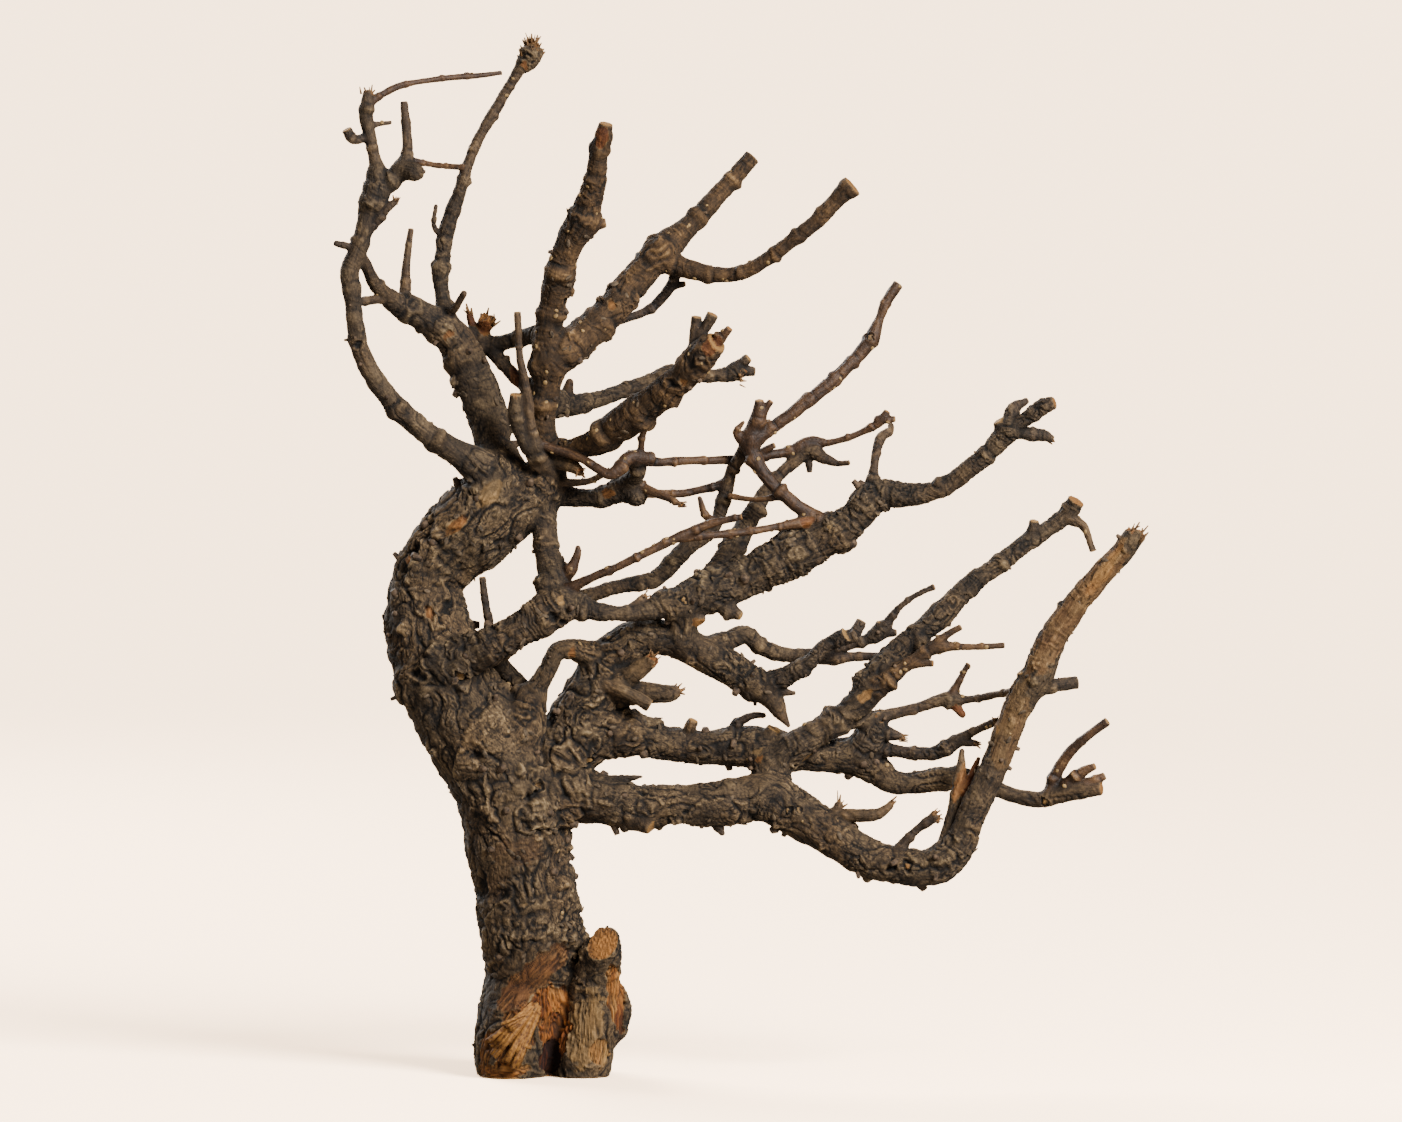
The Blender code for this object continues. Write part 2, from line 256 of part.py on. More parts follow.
LOWER = {
    "web": ((-14, -4, 96, 11), (-7, -6, 104, 7), (-5, -6, 111.6, 5)),
    "handle": (
        (-5, -6, 109, 4.4), (-2, -7, 116, 3.0), (1, -7.6, 121.4, 2.7), (3.8, -7.6, 125.8, 2.8),
        (7.6, -6.6, 126.4, 2.9), (11.6, -4, 125.4, 3.6), (17, -1, 123, 5),
    ),
    "arcade": (
        (-4, -2, 84, 9), (3, -1, 92, 9), (7, 0, 100, 8.6), (11, 0, 108, 8.4), (15, 0, 115, 8),
        (19, 0, 121.4, 7.4), (23.4, -1, 126.6, 6.8), (28.4, -2, 129.4, 6), (34, -3, 129.8, 5.2),
        (39, -3, 128.4, 5), (44, -3, 126, 5), (49, -2, 123.4, 5.1), (54, -1.4, 120.6, 5.1),
        (59, -1, 117.6, 4.8), (63.4, -1.4, 115.2, 4.5), (66.4, -2, 111.8, 3.4), (68.8, -3, 108, 2.3),
        (71.5, -4, 103.8, 0.7),
    ),
    "graft": ((40, -7, 139, 4.4), (40.6, -4.4, 130, 4.2)),
    "arcade_stub": ((20, -4, 115, 4), (27, -7, 120, 2.8), (31.8, -9, 123.6, 2.0)),
    "arcade_prow": (
        (20, -2, 113, 4.4), (30, -4, 113.4, 3.2), (36, -5, 113.2, 2.6), (39.4, -5, 114.2, 1.5),
    ),
    "arcade_log": ((18, -7, 115.8, 1.8), (24.4, -9, 113.6, 2.0), (30.8, -9, 110, 1.9)),
    "arcade_tooth": ((66, -2, 113.6, 1.6), (73, -3, 113.3, 0.7)),
    "creeper": (
        (47.9, -2, 126, 3.9), (53.3, 1, 128.4, 3), (58.7, 2.6, 130.2, 2.7), (62.3, 3.6, 127.6, 2.5),
        (66.3, 4.6, 125.2, 2.5), (71.7, 5.6, 123.9, 2.2), (77.7, 6.6, 123.7, 2), (83.9, 7.4, 122.8, 1.9),
        (90.3, 8.4, 123.2, 1.5), (98.9, 9, 123.4, 1.1),
    ),
    "creeper_fork": (
        (80.4, 7, 123.1, 1.8), (87.4, 7.4, 125.9, 1.4), (93.8, 7, 128, 1.6), (98.4, 6.4, 130.5, 2.5),
        (101.8, 5.4, 134.9, 1.3), (104.8, 4.6, 138.5, 0.95), (109.4, 3.6, 141.9, 0.85),
        (114.8, 3, 144.3, 0.95),
    ),
    "creeper_ear": ((98.4, 6.4, 130.3, 1.8), (98.8, 6, 133.9, 1.3)),
    "creeper_toe": ((99, 6.4, 130.3, 1.6), (103.6, 6, 130.6, 1)),
    "two_lobe": (
        (61.4, -1, 114.3, 4), (68.4, -2.6, 117.1, 3.2), (73.4, -4.4, 119.7, 2.8), (77.8, -6, 122.7, 2.4),
        (81.4, -6.6, 126.7, 2), (85, -7, 128.9, 2.2), (88.4, -8, 130.9, 2.3),
    ),
    "two_lobe_upper": ((86.4, -7, 129.1, 1.8), (90.6, -5.6, 130.9, 1.9), (93.2, -4.6, 134.7, 1.6)),
    "upper_run": (
        (2, 0, 93, 9), (12, 0, 99.6, 8.6), (20, 1, 101.6, 7.8), (27, 2, 100.4, 6.2), (34, 3, 98.4, 5.2),
        (41, 4, 97.4, 5), (47, 4, 96.5, 4.9), (54, 4, 97, 5.6), (61, 3.6, 97, 6), (68, 3, 96, 5.8),
        (75, 4, 95.2, 5.4), (81, 5, 94.4, 5.2), (87, 6, 94.2, 5.2), (92.6, 6.6, 93, 5.2),
        (97.2, 7, 90, 4.6), (101.6, 6.6, 86.8, 3.7), (106.2, 6, 86, 3.2), (111.6, 5.6, 86.6, 3.3),
        (117.2, 5.2, 87.4, 3.5), (123.2, 5, 87.6, 3.2), (129.2, 4.4, 86, 2.5), (135.2, 3, 83.6, 2.3),
        (141.2, 1.8, 81.9, 2.2), (146.6, 1, 81.6, 2.4), (151.2, 0, 83.4, 2.8), (156.2, -1, 84.6, 2.9),
        (160.6, -2, 84.8, 2.5), (164, -3, 85, 1.8),
    ),
    "run_twig": (
        (148.5, 0.6, 82.6, 2.2), (150.3, 0, 88.6, 1.9), (153.3, -1.6, 94.2, 1.6),
        (157.1, -3.4, 98.4, 1.4), (161.1, -5, 101.8, 1.3), (165.5, -6, 105.2, 1.4),
    ),
    "run_peg_near": ((153.6, -1, 86, 2.2), (158, -2.6, 89.8, 1.6), (162, -4, 91.8, 1.0)),
    "run_peg_far": ((159.6, -2, 86.2, 1.8), (164.9, -2.6, 88.9, 1.1)),
    "run_stub": ((41.4, 2, 100.4, 1.8), (43.6, 0.6, 105.2, 1.5)),
    "run_curl": (
        (54, 3, 100.6, 2.2), (57.6, 2, 104.6, 1.4), (61.4, 1, 106.4, 1.1), (64.2, 0.6, 106.4, 0.9),
    ),
    "run_block": ((65.4, 1, 99.6, 2.4), (67.2, 0, 102.8, 1.8)),
    "lower_run": (
        (-8, -3, 80, 11), (1, -3, 82.6, 9.4), (9, -4, 83.4, 8.2), (17, -5, 82, 7.2), (25, -6, 80, 6.7),
        (32, -7, 80.2, 6.1), (39, -7, 80.6, 5.8), (46, -7, 80.8, 6.1), (53, -6.6, 81.2, 6.7),
        (60, -6, 82.2, 6.8), (66, -6.2, 82, 6.9), (72, -7, 79.2, 6.9), (78, -8, 75.6, 6.6),
        (84, -9, 71.8, 6.2), (90, -10, 67.8, 5.8), (96, -11, 64.8, 5.6), (102, -11.6, 63.2, 5.4),
        (108, -12, 62.2, 5.3), (113.6, -12, 62.4, 5.4), (118.6, -12, 65.2, 5.4), (122.4, -12, 70.6, 4.6),
        (124.8, -12, 76.6, 4.2), (127.4, -12, 82.6, 4.2), (130.4, -12, 88.6, 4.1), (133, -12, 94.6, 3.9),
        (135.3, -12, 100.6, 4), (137.4, -12.2, 106.6, 4), (140.2, -12.6, 112.4, 4.4),
        (143.6, -13, 117.6, 4.6), (146.1, -13.6, 123.2, 4.6), (148.8, -14.2, 129.6, 4.2),
        (152.2, -15, 135.2, 4), (156.2, -16, 140.6, 3.8), (160.6, -17.2, 146, 3.5),
        (165, -18.4, 151.2, 3.4), (169.4, -19.6, 156, 3.3), (173.2, -20.6, 161.2, 3.2),
    ),
    "run_strut": ((64, 3, 95, 5), (67, -2, 87, 5.6)),
    "run_cut": ((22, -7, 78.6, 4), (27.4, -9, 76.2, 3.2), (31.2, -10.4, 74.2, 2.3)),
    "run_tooth": ((49.4, -8, 76.6, 2.2), (52, -9, 72.4, 1.0)),
    "run_thorn": ((18, -4, 87, 2), (23, -5, 88, 1.2), (28.2, -6, 88.8, 0.5)),
    "elbow_peg": ((142.8, -12.6, 115.3, 3), (148.8, -11, 115.9, 2.1), (156.6, -9, 116.8, 1.9)),
    "elbow_nub": ((141.2, -13, 116.3, 2), (139.5, -14, 120.1, 1.3)),
    "elbow_wart": ((135.2, -12.4, 102.1, 3), (132.2, -13, 102.7, 2)),
    "split_shaft": (
        (116.4, -11, 65.1, 4), (118.2, -9.6, 70.7, 2.4), (119.6, -8.6, 76.7, 2), (121, -7.6, 82.7, 1.9),
        (122, -7, 88.7, 1.8), (122.6, -7, 96.5, 0.7),
    ),
    "split_tip": ((122.8, -8, 84.7, 1.6), (125.2, -7, 88.7, 1.2), (127.4, -6.6, 94.1, 0.7)),
    "run_barb": (
        (81.6, -8.6, 75, 3), (87, -9.6, 77.6, 2.0), (93, -10.6, 77.6, 2.0), (98, -11, 78.2, 1.7),
        (102, -11, 81.2, 1.0),
    ),
    "run_barb_ear": ((84.6, -9, 77, 2), (86.8, -8, 81.3, 1.1)),
    "run_fist": (
        (103.6, -12, 66.6, 2.4), (107.2, -12.6, 71.6, 1.3), (110.8, -13, 74.8, 1.3),
        (114.8, -13.4, 77.8, 1.8),
    ),
    "ladder": (
        (66.8, 0, 92.8, 5.3), (74.2, -1.6, 97.6, 4.6), (80.8, -1.6, 102, 4), (86.8, -1.4, 105.8, 3.9),
        (91.8, -1, 110.2, 4.1), (96.2, -0.4, 115.8, 4.9), (100.2, 0, 121, 4.6), (104.4, 0.6, 125.8, 3.6),
        (109.4, 1.4, 129.8, 3.5), (114.4, 2, 133.8, 3.7), (118, 2.6, 137.6, 3.5), (122.4, 3.4, 142, 3.1),
        (126.8, 4.2, 146, 3), (131.8, 5, 149.4, 2.6), (136.8, 6, 153.1, 2.7), (141.8, 7, 156.9, 2.7),
        (146.8, 7.8, 160.2, 2.5), (151.4, 8.4, 163.3, 2.5), (154.8, 8.6, 166.4, 2.5),
        (156.6, 7.6, 169.4, 2.7),
    ),
    "ladder_stub": ((143.2, 7, 159.1, 2), (144.2, 6, 163.7, 1.5)),
    "ladder_hook": (
        (154.4, 8, 164.5, 2.2), (158.6, 7.6, 162.1, 1.3), (160.1, 7.4, 158.9, 1), (161.6, 7, 154.5, 1),
    ),
    "ladder_claw": (
        (97.6, -2, 115.5, 4), (104, -4, 120.3, 2.4), (108.6, -5, 123.1, 2), (112.6, -5.6, 125.9, 1.9),
        (116.6, -6, 127.1, 1.9), (121.6, -6, 127.1, 1.1), (128.6, -5.6, 127.1, 0.95),
        (135.2, -5, 127.5, 0.9),
    ),
    "ladder_claw_tip": ((113.6, -5.6, 127.1, 1.6), (118.2, -6.6, 130.7, 1.2), (122.4, -7, 133.1, 0.9)),
    "ladder_claw_tear": ((107.2, -4.8, 122.1, 1.6), (114.2, -6.6, 122.3, 1)),
    "rung": (
        (84.3, -2, 102.8, 3), (91.7, 1, 104.8, 2.1), (98.3, 3, 105.9, 1.9), (104.7, 4, 107.2, 1.7),
        (110.7, 4.6, 108.7, 1.6), (116.3, 4.8, 110.6, 1.9), (120.1, 4.6, 110.8, 2.3),
        (124.3, 3.8, 110.8, 1.2), (130.3, 1, 112, 1.1), (137.9, -7, 114.2, 1.2),
    ),
    "rung_fork": ((119.7, 4.6, 111.8, 1.8), (121.7, 4, 115.8, 1.1), (124.7, 3, 121.6, 0.8)),
    "rung_hook": ((120.3, 4.6, 109.8, 1.6), (122.9, 4, 106.4, 1.1)),
    "chock": ((93, 5, 96, 4.6), (96.4, 4, 101.4, 4.4), (97.6, 3, 106, 2.4)),
    "chock_tail": ((97, 4, 101.6, 3.2), (102, 3, 100.6, 1.8), (105.4, 2.4, 99.8, 1.0)),
    "low_rung": (
        (94.3, 5.6, 95.4, 3.4), (101.3, 4, 95.8, 2), (108.3, 3, 95.1, 1.9), (114.3, 2, 95, 2),
        (118.5, 1, 97, 2.3), (121.9, 0, 99.2, 2), (126.3, -2.4, 102, 1.2), (132.9, -8.6, 105.4, 1.2),
    ),
    "low_rung_claw": ((120.6, 0.4, 99, 1.8), (127.2, -0.6, 98.2, 0.9)),
}

# The sides that the front hides.
BACK = {
    "back_knot_low": ((-4, 10, 50, 8), (-2, 19, 55, 5)),
    "back_knot_high": ((-33, 10, 134, 8), (-36, 19, 139, 4)),
    "back_stub": ((-16, 6, 92, 10), (-12, 18, 99, 6), (-9, 27, 108, 4.2)),
}

REGIONS = (STEM, CROWN_LEFT, CROWN_MIDDLE, MIDDLE, LOWER, BACK)


def clear_scene():
    """Remove every object of the startup scene."""
    for obj in list(bpy.data.objects):
        bpy.data.objects.remove(obj)


def make_collection(name):
    """Return a new collection linked to the scene."""
    collection = bpy.data.collections.new(name)
    bpy.context.scene.collection.children.link(collection)
    return collection


def bevel_resolution(knots):
    """Return the bevel resolution for a limb, from its mean radius."""
    mean = sum(knot[3] for knot in knots) / len(knots)
    for least, resolution in SIDES:
        if mean >= least:
            return resolution
    return SIDES[-1][1]


def limb_curve(name, knots):
    """Return a curve object: a tapered tube with filled caps through the knots."""
    data = bpy.data.curves.new(name, "CURVE")
    data.dimensions = "3D"
    data.bevel_depth = UNIT
    data.bevel_resolution = bevel_resolution(knots)
    data.use_fill_caps = True
    spline = data.splines.new("POLY")
    spline.points.add(len(knots) - 1)
    for point, (x, y, z, radius) in zip(spline.points, knots):
        point.co = (x * UNIT, y * UNIT, z * UNIT, 1)
        point.radius = radius
    return bpy.data.objects.new(name, data)


def limb_mesh(name, knots, collection):
    """Return the limb as a closed mesh object in the collection."""
    curve = limb_curve(name, knots)
    collection.objects.link(curve)
    graph = bpy.context.evaluated_depsgraph_get()
    mesh = bpy.data.meshes.new_from_object(curve.evaluated_get(graph))
    bpy.data.objects.remove(curve)
    welded = bmesh.new()
    welded.from_mesh(mesh)
    bmesh.ops.remove_doubles(welded, verts=welded.verts, dist=WELD)
    bmesh.ops.triangulate(welded, faces=welded.faces)
    bmesh.ops.recalc_face_normals(welded, faces=welded.faces)
    welded.to_mesh(mesh)
    welded.free()
    limb = bpy.data.objects.new(name, mesh)
    collection.objects.link(limb)
    return limb


def hide(obj):
    """Mark a cutter or a guide, which the render and the build leave out."""
    obj.hide_render = True
    obj.display_type = "WIRE"


def saw_block(collection):
    """Return the block below the foot, whose top is the plane of the saw cut."""
    mesh = bpy.data.meshes.new("saw")
    block = bmesh.new()
    bmesh.ops.create_cube(block, size=SAW_SIDE)
    bmesh.ops.translate(block, verts=block.verts, vec=Vector((0, 0, -SAW_SIDE / 2)))
    block.to_mesh(mesh)
    block.free()
    saw = bpy.data.objects.new("saw", mesh)
    collection.objects.link(saw)
    hide(saw)
    return saw


def bark_material():
    """Return the grey-brown finish of dry bark."""
    material = bpy.data.materials.new("dry_bark")
    material.use_nodes = True
    shader = material.node_tree.nodes["Principled BSDF"]
    shader.inputs["Base Color"].default_value = (0.125, 0.085, 0.052, 1)
    shader.inputs["Roughness"].default_value = 0.85
    shader.inputs["Metallic"].default_value = 0.0
    return material


def grow(collection, limbs):
    """Return the root: its stem, with every limb grown on to it and the foot sawn flat."""
    knots_of = {name: knots for region in REGIONS for name, knots in region.items()}
    root = limb_mesh(OBJECT_NAME, knots_of.pop("stem"), collection)
    for name, knots in knots_of.items():
        hide(limb_mesh(name, knots, limbs))
    union = root.modifiers.new("grow", "BOOLEAN")
    union.operation = "UNION"
    union.operand_type = "COLLECTION"
    union.collection = limbs
    union.solver = "EXACT"
    union.use_self = True
    cut = root.modifiers.new("saw", "BOOLEAN")
    cut.operation = "DIFFERENCE"
    cut.object = saw_block(make_collection("cutters"))
    cut.solver = "EXACT"
    return root


def main():
    """Build the dry root."""
    clear_scene()
    root = grow(make_collection(OBJECT_NAME), make_collection("limbs"))
    root.data.materials.append(bark_material())
    root.data.shade_smooth()
    root.data.set_sharp_from_angle(angle=0.9)


main()
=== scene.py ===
"""The looks of a dry, gnarled root that stands on its sawn foot.

One skin of bark is grown over every limb. Each limb is a line of knots, in millimetres, and the limbs
blend into one another in a signed distance field. The field is meshed once, then the bark's plates,
cracks, wrinkles, knuckles, knots and cuts are carved into the mesh. Geometry Nodes set lenticels,
flakes, torn fibres and pegs on it.
"""

import json
import logging
import math
from dataclasses import dataclass, field
from enum import Enum

import bmesh
import bpy
import numpy as np
import openvdb
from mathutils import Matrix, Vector

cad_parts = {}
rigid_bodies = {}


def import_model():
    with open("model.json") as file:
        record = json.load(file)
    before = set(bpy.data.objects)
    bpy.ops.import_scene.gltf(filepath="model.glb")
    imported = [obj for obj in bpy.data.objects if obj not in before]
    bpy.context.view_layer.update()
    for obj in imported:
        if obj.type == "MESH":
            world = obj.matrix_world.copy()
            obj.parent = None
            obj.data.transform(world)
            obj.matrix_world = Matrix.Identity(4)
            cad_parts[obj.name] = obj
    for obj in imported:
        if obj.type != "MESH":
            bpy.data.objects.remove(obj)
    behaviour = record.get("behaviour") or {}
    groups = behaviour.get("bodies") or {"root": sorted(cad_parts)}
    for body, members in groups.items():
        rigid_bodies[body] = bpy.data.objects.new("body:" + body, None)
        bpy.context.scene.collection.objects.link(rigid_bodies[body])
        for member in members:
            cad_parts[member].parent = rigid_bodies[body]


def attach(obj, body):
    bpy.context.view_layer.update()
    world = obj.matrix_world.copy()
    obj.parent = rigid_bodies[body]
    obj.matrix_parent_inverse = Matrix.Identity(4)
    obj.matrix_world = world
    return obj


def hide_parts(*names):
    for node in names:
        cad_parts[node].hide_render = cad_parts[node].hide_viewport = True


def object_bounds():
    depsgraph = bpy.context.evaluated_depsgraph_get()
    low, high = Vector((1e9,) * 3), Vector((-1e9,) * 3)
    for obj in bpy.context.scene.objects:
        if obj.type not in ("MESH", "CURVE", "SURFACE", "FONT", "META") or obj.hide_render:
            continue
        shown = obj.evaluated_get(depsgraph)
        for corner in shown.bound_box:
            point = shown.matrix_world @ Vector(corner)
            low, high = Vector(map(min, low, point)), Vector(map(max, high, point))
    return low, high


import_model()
CAD_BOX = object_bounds()

LOG = logging.getLogger("dry_root")
Array = np.ndarray

MM = 0.001
DRAWN_HEIGHT = 304.8  # the height at which the knots below are drawn
UNIT = (CAD_BOX[1].z - CAD_BOX[0].z) / MM / DRAWN_HEIGHT
OLD_GNARL = 0.6  # the thick old limbs wander less than the young ones


class Bark(Enum):
    """The kinds of surface that the root shows."""

    OLD = 0  # thick, plated bark with deep wandering cracks
    RIDGED = 1  # middle-aged bark with wrinkles across the limb
    SMOOTH = 2  # tight grey skin with long streaks
    OCHRE = 3  # yellow-brown skin with pale lenticels
    RED = 4  # red-brown skin of young twigs
    DARK = 5  # nearly black, shrunken and net-like
    BARE = 6  # weathered wood that has lost its bark
    RUST = 7  # torn, orange-brown wood


class End(Enum):
    """How a limb ends."""

    ROUND = 0
    CUT = 1
    TORN = 2


OLD, RIDGED, SMOOTH, OCHRE, RED, DARK, BARE, RUST = Bark
ROUND, CUT, TORN = End


@dataclass(frozen=True)
class Limb:
    """A limb of the root: its surface, its end, and its knots (x, y, z, radius) in drawn units."""

    name: str
    bark: Bark
    end: End
    knots: tuple[tuple[float, float, float, float], ...]


STEM = (
    Limb("stem", OLD, ROUND, (
        (-8, 4, -12, 8), (-8, 4, 0, 12), (-8, 4, 8, 13.5), (-6, 3, 20, 13.5), (-4, 2, 30, 13.5),
        (-4, 1, 40, 14.6), (-5.5, 0, 50, 15), (-7, -1, 60, 14.2), (-8.5, -1, 70, 15.5),
        (-9.6, -1, 80, 15.6), (-13.5, -2, 90, 15.6), (-19.6, -2, 100, 15.2), (-25.4, -1, 109, 14.4),
        (-29.8, 0, 118, 13.6), (-33.4, 1, 127, 13.4), (-35.4, 3, 136, 12), (-35, 4, 145, 10.6),
        (-31, 4, 152.6, 11), (-24.4, 3, 160, 12), (-17.4, 2, 167, 11), (-13.6, 0, 176, 8.2),
    )),
    Limb("foot_left", OLD, ROUND, (
        (-10.5, -3, -12, 6), (-10.5, -4, 0, 8.6), (-10, -4.5, 7, 9.8), (-8.5, -4, 16, 9.6), (-6, -1, 28, 9),
    )),
    Limb("foot_right", OLD, ROUND, (
        (10.5, -2, -12, 5.5), (10.8, -3, 0, 7.8), (11.4, -3.5, 8, 8.6), (14, -4, 17, 8),
        (14.6, -4, 26, 7.4), (15.8, -7, 33, 6.4), (17.4, -11, 38, 5.3), (17.6, -12.5, 40.8, 4.4),
    )),
    Limb("foot_back", OLD, ROUND, (
        (3, 10, -12, 9), (3, 10, 0, 12.5), (3, 9, 12, 13.5), (1, 6, 28, 12), (-2, 3, 44, 10),
    )),
    Limb("foot_heel", OLD, ROUND, ((-9, 11, -12, 7), (-9, 11, 0, 9.5), (-9, 10, 12, 10), (-8, 6, 30, 9))),
    Limb("bark_scale", DARK, ROUND, (
        (19.5, 1, 9, 1.4), (21, 0.5, 14, 3), (22, 0.5, 20, 3.2), (20, 0, 27, 2.4),
    )),
)

CROWN_LEFT = (
    Limb("arch", SMOOTH, TORN, (
        (-14, 0, 173, 8), (-19, -3, 179.5, 5.6), (-25, -5, 183.6, 4.1), (-32, -7, 188, 3.5),
        (-39, -9, 193.6, 3.2), (-44.8, -11, 199.3, 3), (-49.6, -13, 205.8, 2.8), (-53.4, -14.5, 213, 2.7),
        (-55.3, -15.5, 221, 2.5), (-56.2, -16, 229, 2.5), (-57, -16, 238, 2.9), (-54, -15.5, 245.8, 2.6),
        (-52, -15, 253.8, 2.8), (-49.6, -14.5, 260.3, 4.2), (-49, -14, 265.8, 3.2),
        (-49.8, -13.5, 270.8, 1.8), (-51.6, -13, 278.8, 1.9), (-52.4, -13, 284.8, 2.1),
        (-51.6, -13, 290.3, 1.6),
    )),
    Limb("arch_top_twig", RED, CUT, (
        (-52, -13, 286.5, 1.3), (-47, -11, 290, 1.1), (-42, -9, 292.2, 1), (-35, -6, 293.5, 0.9),
        (-27, -3, 294.5, 0.9), (-19, 0, 295, 0.85), (-12.8, 2, 295.8, 0.75),
    )),
    Limb("arch_left_stub", DARK, CUT, (
        (-52, -13, 277, 1.4), (-56, -15, 276.6, 1.5), (-58, -16, 279.4, 1.6),
    )),
    Limb("arch_right_spur", DARK, ROUND, ((-51, -13, 280.6, 1), (-45.3, -11, 281.3, 0.6))),
    Limb("arch_right_prong", SMOOTH, CUT, (
        (-49, -14, 262, 3), (-45, -14, 264.5, 2.9), (-41.6, -14, 268, 2.7), (-40.2, -14, 273, 1.7),
        (-40.6, -13, 280, 1.4), (-41.3, -12, 287.5, 1.1),
    )),
    Limb("arch_knob", SMOOTH, ROUND, ((-42, -14, 267.5, 2.6), (-38, -17, 267, 2.7))),
    Limb("arch_link", RED, ROUND, ((-40, -13, 270.6, 1), (-33, -10, 269, 0.9), (-24.3, 8, 267.8, 0.9))),
    Limb("arch_barb", DARK, TORN, (
        (-51, -15, 250.5, 1.6), (-46.5, -16, 256, 1.4), (-43.2, -16.5, 258.5, 1),
    )),
    Limb("arch_nib", DARK, ROUND, ((-55, -15.5, 244.4, 1.2), (-61, -17, 246, 0.9))),
    Limb("elbow", SMOOTH, ROUND, (
        (-11.6, 1, 175.7, 7.5), (-15.1, 3, 184.7, 5.6), (-16.2, 4, 191.7, 5.6), (-18.2, 5, 198.7, 6),
        (-21.6, 6, 205.7, 5.9), (-24.6, 6, 212.7, 5.8), (-28.6, 5, 218.7, 5.4), (-34.1, 3, 223.3, 4.5),
        (-40.1, 0, 226.1, 4.2), (-45.2, -4, 229.1, 2.9), (-49.4, -9, 233.3, 2.1), (-53, -13.5, 240.7, 1.7),
    )),
    Limb("elbow_link", SMOOTH, ROUND, ((-55.5, -15, 228.8, 1.3), (-47, -6, 229.6, 1.4))),
    Limb("elbow_twig", SMOOTH, CUT, (
        (-41.6, 0, 228, 2.2), (-41.3, 1, 234, 1.5), (-40.8, 2, 241, 1.2), (-39.6, 3, 250, 0.9),
    )),
    Limb("whip", RIDGED, TORN, (
        (-29, 4, 223, 2.8), (-30.5, 6, 230, 2.2), (-31, 7, 238, 2.6), (-30, 8, 244.7, 2.3),
        (-29, 8, 250.2, 2.3), (-26.6, 8, 256.7, 2.2), (-24.2, 8, 264.7, 1.8), (-21, 9, 273.7, 1.6),
        (-16.4, 10, 282.3, 1.7), (-11.9, 11, 289.7, 1.6), (-8, 11, 296.1, 1.8), (-4.8, 11, 300.1, 3.2),
        (-3.8, 11, 304.5, 1.5),
    )),
    Limb("whip_spike", DARK, ROUND, ((-31, 8, 247.6, 1), (-33, 6, 251, 0.8), (-32.3, 5, 256.5, 0.6))),
    Limb("elbow_thorn", SMOOTH, ROUND, (
        (-29.4, 4, 223.6, 1.6), (-26.6, 0, 226.6, 1.2), (-23.9, -4, 231, 1),
    )),
    Limb("dark_strut", DARK, ROUND, (
        (-0.5, -1, 202, 2.6), (-7.6, 5, 205, 2.2), (-12.6, 8, 210, 1.9), (-17.4, 11, 215.4, 2.3),
        (-22, 10, 219, 1.9),
    )),
    Limb("dark_bridge", DARK, ROUND, (
        (1, -3, 217, 3), (-2.6, 2.6, 218.6, 2.8), (-7, 6, 217.6, 2.5), (-13, 9, 216, 2.3),
        (-18.6, 11, 215.6, 2.6),
    )),
    Limb("torn_knob", RUST, TORN, ((-18.4, 11, 215.6, 2.6), (-18.6, 11, 219.6, 2.2), (-17, 9, 223, 2.6))),
    Limb("torn_prong", RUST, TORN, ((-18.6, 11, 218.6, 1.8), (-21.6, 11, 221, 1.3), (-22.8, 11, 225.2, 1))),
)

